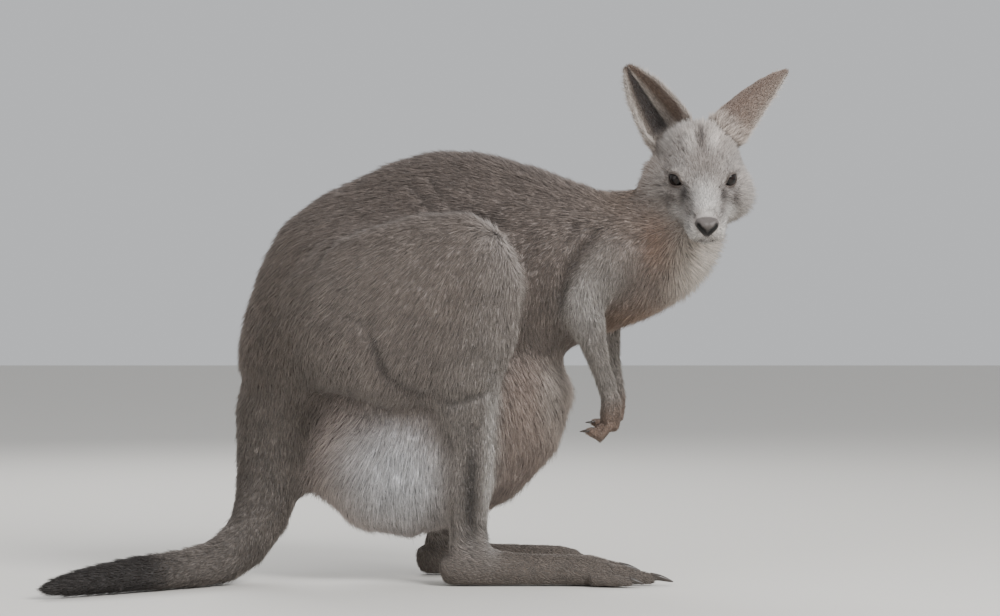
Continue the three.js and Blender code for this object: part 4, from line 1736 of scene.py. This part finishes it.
@dataclass(frozen=True)
class FloorFinish(Finish):
    """A matt painted studio floor."""

    name: str = "matt studio floor"

    def inputs(self, nodes: Nodes) -> dict:
        """What goes in each of the shader's inputs."""
        return {
            "Base Color": linear("#d6d3cd"),
            "Normal": nodes.bump(nodes.noise(nodes.place(), 3.3, 2.0), 0.05, 0.5),
            "Roughness": 0.8,
        }


# --- coat


def lock_object() -> Object:
    """A closed lock, one long and one wide, from its root along +X.

    Returns:
        The hidden object that Geometry Nodes repeat.
    """
    points = np.array([(-0.06, -0.5, 0.0), (-0.06, 0.5, 0.0), (-0.06, 0.0, 0.41), (1.0, 0.0, 0.1)])
    mesh = bpy.data.meshes.new("lock")
    mesh.from_pydata(points.tolist(), [], [(0, 1, 2), (0, 3, 1), (1, 3, 2), (2, 3, 0)])
    mesh.shade_smooth()
    give(mesh, "along", "FLOAT", np.maximum(points[:, 0], 0))
    spread = points[:, 1] + 0.3 * points[:, 2]  # no two corners share a spot of the patch
    give(mesh, "patch", "FLOAT_VECTOR", np.stack([points[:, 0], spread, np.zeros(len(points))], 1))
    obj = new_object(mesh.name, mesh)
    obj.hide_render = True
    return obj


class Slot(Enum):
    """The slots named for the coat's pieces; each piece holds one, and all take the one hair
    finish.
    """

    BACK = "back_coat"
    LIMB = "limb_coat"
    POUCH = "pouch_coat"
    FACE = "face_coat"


@dataclass(frozen=True)
class CoatPiece:
    """One piece of the coat and where on the skin it grows."""

    name: str
    slot: Slot
    regions: tuple[Region, ...]
    side: int = 0  # -1 her right half, 1 her left half, 0 both
    rear: int = 0  # -1 only behind the hips, 1 only before them, 0 both


COAT_PIECES = (
    CoatPiece("coat_trunk_rear_right", Slot.BACK, (Region.BACK,), -1, -1),
    CoatPiece("coat_trunk_rear_left", Slot.BACK, (Region.BACK,), 1, -1),
    CoatPiece("coat_trunk_front_right", Slot.BACK, (Region.BACK,), -1, 1),
    CoatPiece("coat_trunk_front_left", Slot.BACK, (Region.BACK,), 1, 1),
    CoatPiece("coat_thigh_right", Slot.LIMB, (Region.THIGH,), -1),
    CoatPiece("coat_thigh_left", Slot.LIMB, (Region.THIGH,), 1),
    CoatPiece("coat_pouch", Slot.POUCH, (Region.POUCH,)),
    CoatPiece("coat_neck", Slot.BACK, (Region.NECK,)),
    CoatPiece("coat_arms", Slot.LIMB, (Region.ARM, Region.HAND)),
    CoatPiece("coat_legs", Slot.LIMB, (Region.SHANK, Region.FOOT)),
    CoatPiece("coat_tail", Slot.BACK, (Region.TAIL, Region.TIP)),
    CoatPiece("coat_face_right", Slot.FACE, (Region.FACE, Region.NOSE), -1),
    CoatPiece("coat_face_left", Slot.FACE, (Region.FACE, Region.NOSE), 1),
    CoatPiece("coat_ears", Slot.FACE, (Region.EAR,)),
)


Value = Socket | float | tuple
TREE_INPUTS = {
    "Geometry": ("Skin",),
    "Object": ("Lock", "Unwrap"),
    "Material": ("Finish",),
    "Float": ("Density", "Straying", "Clump size", "Clumping", "Shortest", "Longest", "Patch"),
    "Int": ("Seed",),
}


@dataclass
class Coat:
    """All the hair: solid locks laid along the skin by Geometry Nodes, in pieces."""

    skin: Object
    finish: HairFinish = HairFinish()
    most_faces: int = 195_000
    most_in_all: int = 1_440_000
    uv_patch: float = 0.003  # size of a lock's patch on the map
    unwrap_keep: float = 0.07  # share of the skin's faces that the unwrap needs
    unwrap_border: float = 0.004
    clump: float = 11.0  # distance from one clump of locks to the next
    face_clump: float = 5.5
    clumping: float = 0.9  # how far the locks of a clump turn together
    face_clumping: float = 1.1
    straying: float = 0.12  # how far each lock turns by itself
    shortest: float = 0.55  # times the length at its place
    longest: float = 1.35
    hips_at: float = 10.0  # where the trunk's coat is divided, along x
    seed: int = 7
    length_seed: int = 3
    tone_seed: int = 5
    tones: tuple[float, float] = (0.6, 1.3)  # the darkest and the lightest hair's shade
    least_rise: float = 0.12  # of a lock over the skin, as a share of its length
    thin: float = 1.0  # share of the locks that is grown

    def tree(self) -> tuple[bpy.types.NodeTree, dict[str, str]]:
        """The nodes that set locks on a piece of skin.

        Returns:
            The tree and the identifier of each of its inputs.
        """
        tree = bpy.data.node_groups.new("locks", "GeometryNodeTree")
        sockets, named = tree.interface, {}
        for kind, names in TREE_INPUTS.items():
            socket_type = f"NodeSocket{kind}"
            for name in names:
                socket = sockets.new_socket(name=name, in_out="INPUT", socket_type=socket_type)
                named[name] = socket.identifier
        sockets.new_socket(name="Coat", in_out="OUTPUT", socket_type="NodeSocketGeometry")
        nodes = Nodes(tree)
        given = nodes.add("NodeGroupInput").outputs

        def read(name: str, kind: str = "FLOAT_VECTOR") -> Socket:
            """A named attribute."""
            node = nodes.add("GeometryNodeInputNamedAttribute", {"Name": name}, data_type=kind)
            return node.outputs[0]

        def drawn(low: Value, high: Value, seed: int | Socket) -> Socket:
            """A random number or vector for each lock."""
            vector = isinstance(low, tuple)
            links = {0: low, 1: high, "Seed": seed} if vector else {2: low, 3: high, "Seed": seed}
            kind = "FLOAT_VECTOR" if vector else "FLOAT"
            node = nodes.add("FunctionNodeRandomValue", links, data_type=kind)
            return node.outputs[0 if vector else 1]

        def stored(
            geometry: Socket, name: str, value: Value, kind: str, domain: str = "POINT"
        ) -> Socket:
            """The geometry with an attribute more."""
            links = {"Geometry": geometry, "Name": name, "Value": value}
            settings = {"data_type": kind, "domain": domain}
            return nodes.add("GeometryNodeStoreNamedAttribute", links, **settings).outputs[0]

        density = nodes.sum("MULTIPLY", read("density", "FLOAT"), given["Density"])
        scattered = nodes.add(
            "GeometryNodeDistributePointsOnFaces",
            {"Mesh": given["Skin"], "Density": density, "Seed": given["Seed"]},
        ).outputs
        place = nodes.add("GeometryNodeInputPosition").outputs[0]
        clump = nodes.sum("DIVIDE", 1.0, given["Clump size"])
        clumps = nodes.add("ShaderNodeTexNoise", {"Vector": place, "Scale": clump, "Detail": 1.5})
        centred = nodes.vector("SUBTRACT", clumps.outputs["Color"], (0.5, 0.5, 0.5))
        stray = drawn((-1, -1, -1), (1, 1, 1), given["Seed"])
        way = nodes.vector("ADD", read("way"), nodes.vector("SCALE", centred, given["Clumping"]))
        way = nodes.vector("ADD", way, nodes.vector("SCALE", stray, given["Straying"]))
        # A lock is never turned down into the skin.
        normal = scattered["Normal"]
        lack = nodes.sum("SUBTRACT", self.least_rise, nodes.vector("DOT_PRODUCT", way, normal))
        lift = nodes.vector("SCALE", normal, nodes.sum("MAXIMUM", lack, 0.0))
        way = nodes.vector("ADD", way, lift)
        turned = nodes.add(
            "FunctionNodeAxesToRotation",
            {"Primary Axis": way, "Secondary Axis": normal},
            primary_axis="X",
            secondary_axis="Z",
        )
        times = drawn(given["Shortest"], given["Longest"], self.length_seed)
        length = nodes.sum("MULTIPLY", read("length", "FLOAT"), times)
        width = read("width", "FLOAT")
        size = nodes.add("ShaderNodeCombineXYZ", {0: length, 1: width, 2: width})
        unwrap = nodes.add("GeometryNodeObjectInfo", {"Object": given["Unwrap"]})
        root = nodes.add(
            "GeometryNodeSampleNearestSurface",
            {"Mesh": unwrap.outputs["Geometry"], "Value": read("unwrap")},
            data_type="FLOAT_VECTOR",
        )
        points = stored(scattered["Points"], "root", root.outputs["Value"], "FLOAT_VECTOR")
        points = stored(points, "tone", drawn(*self.tones, self.tone_seed), "FLOAT")
        lock = nodes.add("GeometryNodeObjectInfo", {"Object": given["Lock"], "As Instance": False})
        grown = nodes.add(
            "GeometryNodeInstanceOnPoints",
            {
                "Points": points,
                "Instance": lock.outputs["Geometry"],
                "Rotation": turned.outputs[0],
                "Scale": size.outputs[0],
            },
        )
        solid = nodes.add("GeometryNodeRealizeInstances", {"Geometry": grown.outputs[0]}).outputs[0]
        patch = nodes.vector("SCALE", read("patch"), given["Patch"])
        spot = nodes.vector("ADD", patch, read("root"))
        mapped = stored(solid, "OFBake", spot, "FLOAT2", "CORNER")
        links = {"Geometry": mapped, "Material": given["Finish"]}
        dressed = nodes.add("GeometryNodeSetMaterial", links)
        nodes.add("NodeGroupOutput", {0: dressed.outputs[0]})
        return tree, named

    def unwrap(self) -> Object:
        """A plain copy of the skin with its unwrap, which the locks' map follows.

        Returns:
            The hidden copy; each corner's place on the unwrap is its attribute "unwrap".
        """
        copy = new_object("unwrap", self.skin.data.copy())
        fewer_faces(copy, self.unwrap_keep)
        copy.data.uv_layers.new(name="map")
        bpy.ops.object.select_all(action="DESELECT")
        bpy.context.view_layer.objects.active = copy
        copy.select_set(True)
        bpy.ops.object.mode_set(mode="EDIT")
        bpy.ops.mesh.select_all(action="SELECT")
        bpy.ops.uv.smart_project(angle_limit=math.radians(66), island_margin=0.002)
        bpy.ops.object.mode_set(mode="OBJECT")
        places = rows_of(copy.data.uv_layers["map"].data, "uv", 2, np.float32)
        spots = self.unwrap_border + (1 - 2 * self.unwrap_border) * places
        give(copy.data, "unwrap", "FLOAT_VECTOR", np.pad(spots, ((0, 0), (0, 1))), "CORNER")
        copy.hide_render = True
        return copy

    def attributes(self, look: Look) -> dict[str, Array]:
        """What the nodes read at each vertex of the skin.

        Args:
            look: The coat at each vertex.

        Returns:
            The values of each attribute, by its name.
        """
        spacing = look.mixed([kind.spacing for kind in COAT])
        lift = look.lifts()[:, None]
        lie = lie_of_hair(look.points, look.normals, look.shares)
        return {
            "density": (1 - look.bare()) / (spacing * MM) ** 2,
            "length": look.lengths() * MM,
            "width": look.mixed([kind.width for kind in COAT]) * MM,
            "way": lie * np.cos(lift) + look.normals * np.sin(lift),
            "coat_colour": look.colours(),
        }

    def members(self, piece: CoatPiece, main: Array, middles: Array) -> Array:
        """Which faces of the skin a piece grows on.

        Args:
            piece: The piece.
            main: Each face's region, as its number in COAT.
            middles: Each face's middle.

        Returns:
            True for each of its faces.
        """
        chosen = np.isin(main, [ORDER[region] for region in piece.regions])
        if piece.side:
            in_head = Region.FACE in piece.regions
            across = HEAD.inward(middles)[:, 1] if in_head else middles[:, 1] - MIDDLE_Y
            chosen &= np.sign(across) == piece.side
        if piece.rear:
            chosen &= np.sign(middles[:, 0] - self.hips_at) == piece.rear
        return chosen

    def ground(self, name: str, points: Array, faces: Array, values: dict) -> Object:
        """The stretch of skin that a piece grows on.

        Args:
            name: The piece's name.
            points: The skin's vertices.
            faces: The stretch's triangles.
            values: What the nodes read at each of the skin's vertices.

        Returns:
            The stretch's object.
        """
        used, numbers = np.unique(faces, return_inverse=True)
        mesh = mesh_of(name, points[used], numbers.reshape(-1, 3))
        for key, value in values.items():
            kind = {1: "FLOAT", 3: "FLOAT_VECTOR", 4: "FLOAT_COLOR"}[value[:1].size]
            give(mesh, key, kind, value[used])
        return new_object(name, mesh)

    def densities(self, full: dict[CoatPiece, float]) -> dict[CoatPiece, float]:
        """How much each piece is thinned to stay within the number of faces.

        Args:
            full: Each piece's faces if it were not thinned.

        Returns:
            The share of each piece's locks that is grown.
        """
        shares = {piece: min(1.0, self.most_faces / count) for piece, count in full.items()}
        face = {piece for piece in COAT_PIECES if Region.FACE in piece.regions}
        fixed = sum(full[piece] * shares[piece] for piece in COAT_PIECES if piece in face)
        rest = sum(full[piece] * shares[piece] for piece in COAT_PIECES) - fixed
        thinner = min(1.0, (self.most_in_all - fixed) / rest)
        LOG.info("coat: %d faces wanted, %.2f of the body's kept", fixed + rest, thinner)
        return {
            piece: share * self.thin * (1.0 if piece in face else thinner)
            for piece, share in shares.items()
        }

    def build(self, look: Look) -> dict[CoatPiece, Object]:
        """Every piece of the coat.

        Args:
            look: The coat at each vertex of the skin.

        Returns:
            The objects of the pieces.
        """
        points, faces = look.points, triangles_of(self.skin.data)
        values = self.attributes(look)
        main = look.shares.argmax(1)[faces[:, 0]]
        corners = points[faces]
        across = np.cross(corners[:, 1] - corners[:, 0], corners[:, 2] - corners[:, 0])
        area = np.linalg.norm(across, axis=1) / 2 * MM**2
        amount = area * values["density"][faces].mean(1)
        lock, unwrap, (tree, named) = lock_object(), self.unwrap(), self.tree()
        material = self.finish.make()
        chosen = {piece: self.members(piece, main, corners.mean(1)) for piece in COAT_PIECES}
        per_lock = len(lock.data.polygons)
        densities = self.densities({p: amount[mask].sum() * per_lock for p, mask in chosen.items()})
        pieces = {}
        for number, piece in enumerate(COAT_PIECES):
            obj = self.ground(piece.name, points, faces[chosen[piece]], values)
            modifier = obj.modifiers.new("locks", "NODES")
            modifier.node_group = tree
            on_face = Region.FACE in piece.regions
            for name, value in {
                "Lock": lock,
                "Unwrap": unwrap,
                "Finish": material,
                "Density": densities[piece],
                "Seed": self.seed + number,
                "Straying": self.straying,
                "Clump size": (self.face_clump if on_face else self.clump) * MM,
                "Clumping": self.face_clumping if on_face else self.clumping,
                "Shortest": self.shortest,
                "Longest": self.longest,
                "Patch": self.uv_patch,
            }.items():
                modifier[named[name]] = value
            applied(obj)
            for name in ("root", "patch", "density", "length", "width", "way"):
                if name in obj.data.attributes:
                    obj.data.attributes.remove(obj.data.attributes[name])
            LOG.info("%s: %d faces", piece.name, len(obj.data.polygons))
            pieces[piece] = obj
        for obj in (lock, unwrap):
            bpy.data.objects.remove(obj)
        LOG.info("coat: %d faces", sum(len(obj.data.polygons) for obj in pieces.values()))
        return pieces


# --- eyes and claws


@dataclass
class Eyes:
    """Both eyeballs behind their lids."""

    shape: EyeShape = EyeShape()
    bulge: float = 0.7  # of the cornea
    cornea: float = 0.5  # radians from the gaze to its margin
    around: int = 40
    rings: int = 28

    def build(self, side_name: str) -> Object:
        """One eyeball.

        Args:
            side_name: "left" or "right".

        Returns:
            The eyeball.
        """
        centre, axes = self.shape.frame_of(SIDES[side_name])
        angles = np.linspace(0, math.pi, self.rings + 1)[1:-1]
        turns = np.arange(self.around) * 2 * math.pi / self.around
        rows, from_gaze = [axes[0] * (self.shape.radius + self.bulge)], [0.0]
        for angle in angles:
            radius = self.shape.radius + self.bulge * math.exp(-((angle / self.cornea) ** 2))
            for turn in turns:
                way = math.cos(angle) * axes[0] + math.sin(angle) * (
                    math.cos(turn) * axes[1] + math.sin(turn) * axes[2]
                )
                rows.append(way * radius)
                from_gaze.append(angle)
        rows.append(-axes[0] * self.shape.radius)
        from_gaze.append(math.pi)
        n, last = self.around, len(rows) - 1
        faces = [(0, 1 + i, 1 + (i + 1) % n) for i in range(n)]
        for r in range(len(angles) - 1):
            a = 1 + r * n
            faces += [(a + i, a + n + i, a + n + (i + 1) % n, a + (i + 1) % n) for i in range(n)]
        a = 1 + (len(angles) - 1) * n
        faces += [(a + i, last, a + (i + 1) % n) for i in range(n)]
        points = HEAD.outward(np.array(rows) + centre)
        mesh = mesh_of(f"eyeball_{side_name}", points, faces)
        if signed_volume(points[triangles_of(mesh)] - points.mean(0)) < 0:
            mesh.flip_normals()
        give(mesh, "from_gaze", "FLOAT", from_gaze)
        return new_object(mesh.name, mesh)


@dataclass
class Claws:
    """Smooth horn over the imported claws."""

    swell: float = 0.35  # made up for what the smoothing takes off
    levels: int = 2
    seated: float = 7.0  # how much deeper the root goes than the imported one's
    root: float = 0.3  # the share of the length that counts as the root

    def build(self, node: str) -> Object:
        """One claw.

        Args:
            node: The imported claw.

        Returns:
            The smooth claw.
        """
        shape = bmesh.new()
        shape.from_mesh(frame["nodes"][node].data)
        bmesh.ops.remove_doubles(shape, verts=shape.verts, dist=0.01 * MM)
        bmesh.ops.recalc_face_normals(shape, faces=shape.faces)
        places = np.array([vertex.co for vertex in shape.verts])
        places -= places.mean(0)
        along = np.linalg.svd(places)[2][0]
        far = places @ along
        thick = np.linalg.norm(places - np.outer(far, along), axis=1)
        if thick[far < 0].max() < thick[far > 0].max():
            along, far = -along, -far
        for vertex, place in zip(shape.verts, far):
            vertex.co += vertex.normal * self.swell * MM
            if place < far.min() + self.root * np.ptp(far):
                vertex.co -= Vector(along) * self.seated * MM
        mesh = bpy.data.meshes.new(f"horn_{node}")
        shape.to_mesh(mesh)
        shape.free()
        mesh.shade_smooth()
        obj = new_object(f"horn_{node}", mesh)
        modifier = obj.modifiers.new("round", "SUBSURF")
        modifier.levels = modifier.render_levels = self.levels
        return applied(obj)


# --- studio


@dataclass(frozen=True)
class Lamp:
    """A square soft light."""

    name: str
    at: Place  # metres
    size: float  # metres
    power: float  # watts


@dataclass
class Studio:
    """Pale floor, soft lights and the camera, in metres."""

    camera_at: Place = (0.103, -3.951, 0.3944)
    lens: float = 99.3
    clip_end: float = 100.0
    floor_size: float = 30.0
    air: str = "#e3e5e8"
    air_strength: float = 0.78
    aim: Place = (0.1, 0.05, 0.4)
    lamps: tuple[Lamp, ...] = (
        Lamp("key", (2.1, -2.2, 2.5), 1.5, 165),
        Lamp("fill", (-2.2, -2.2, 1.3), 2.2, 22),
        Lamp("back", (-0.8, 2.6, 2.4), 1.8, 55),
    )

    def build(self) -> None:
        """Makes them all."""
        data = bpy.data.cameras.new("camera")
        data.lens, data.clip_end = self.lens, self.clip_end
        camera = new_object("camera", data)
        camera.location = self.camera_at
        camera.rotation_euler = (math.radians(90), 0, 0)
        bpy.context.scene.camera = camera
        half = self.floor_size / 2
        corners = [(-half, -half, 0), (half, -half, 0), (half, half, 0), (-half, half, 0)]
        floor = bpy.data.meshes.new("floor")
        floor.from_pydata(corners, [], [(0, 1, 2, 3)])
        floor.materials.append(FloorFinish().make())
        obj = new_object("floor", floor)
        world = bpy.data.worlds.new("studio air")
        world.use_nodes = True
        background = world.node_tree.nodes["Background"]
        background.inputs["Color"].default_value = linear(self.air)
        background.inputs["Strength"].default_value = self.air_strength
        bpy.context.scene.world = world
        for lamp in self.lamps:
            data = bpy.data.lights.new(lamp.name, "AREA")
            data.size, data.energy = lamp.size, lamp.power
            obj = new_object(lamp.name, data)
            obj.location = lamp.at
            obj.rotation_mode = "QUATERNION"
            obj.rotation_quaternion = (Vector(self.aim) - Vector(lamp.at)).to_track_quat("-Z", "Y")


def dress_skin(skin: Object, look: Look) -> None:
    """Colours the skin and gives it its hide, nose and lid finishes.

    Args:
        skin: The skin.
        look: The coat at each of its vertices.
    """
    mesh = skin.data
    give(mesh, "coat_colour", "FLOAT_COLOR", look.colours())
    nose = BareSkinFinish("moist nose leather", 0.4, 0.9)
    lid = BareSkinFinish("dark skin of the lids", 0.45, 0.8)
    mesh.materials.clear()
    for finish in (HideFinish(), nose, lid):
        mesh.materials.append(finish.make())
    kinds = np.where(look.gap < 1.8, 2, np.where(look.nose.share(look.points) > 0.5, 1, 0))
    starts = rows_of(mesh.polygons, "loop_start", 1, np.int32).ravel()
    vertices = rows_of(mesh.loops, "vertex_index", 1, np.int32).ravel()
    mesh.polygons.foreach_set("material_index", kinds[vertices[starts]].astype(np.int32))


def main() -> None:
    """Builds the animal piece by piece."""
    logging.basicConfig(level=logging.INFO, format="%(asctime)s %(message)s")
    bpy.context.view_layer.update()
    Studio().build()
    solids = Solids()
    regions = RegionMap(solids)
    hide = Skin(solids, regions)
    skin = hide.build()
    points = points_of(skin.data)
    look = Look(
        points=points,
        normals=rows_of(skin.data.vertex_normals, "vector", 3, np.float32),
        shares=regions.at(points),
        gap=EyeShape().gap(points),
        nostrils=hide.face.nostrils(HEAD.inward(points)),
        folds=hide.creases.share(points),
    )
    dress_skin(skin, look)
    coat = Coat(skin, thin=1.0).build(look)
    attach(skin, BODY)
    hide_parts(*FLESH)
    for kind, piece in coat.items():
        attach(piece, BODY)
    wet = EyeFinish().make()
    for side in SIDES:
        eye = Eyes().build(side)
        eye.data.materials.append(wet)
        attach(eye, BODY)
        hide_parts(f"eye_{side}")
        LOG.info("%s: %d faces", eye.name, len(eye.data.polygons))
    horn = HornFinish().make()
    for node in sorted(frame["nodes"]):
        if "claw" in node:
            claw = Claws().build(node)
            claw.data.materials.clear()
            claw.data.materials.append(horn)
            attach(claw, BODY)
            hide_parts(node)
            LOG.info("%s: %d faces", claw.name, len(claw.data.polygons))
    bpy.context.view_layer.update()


if __name__ == "__main__":
    main()
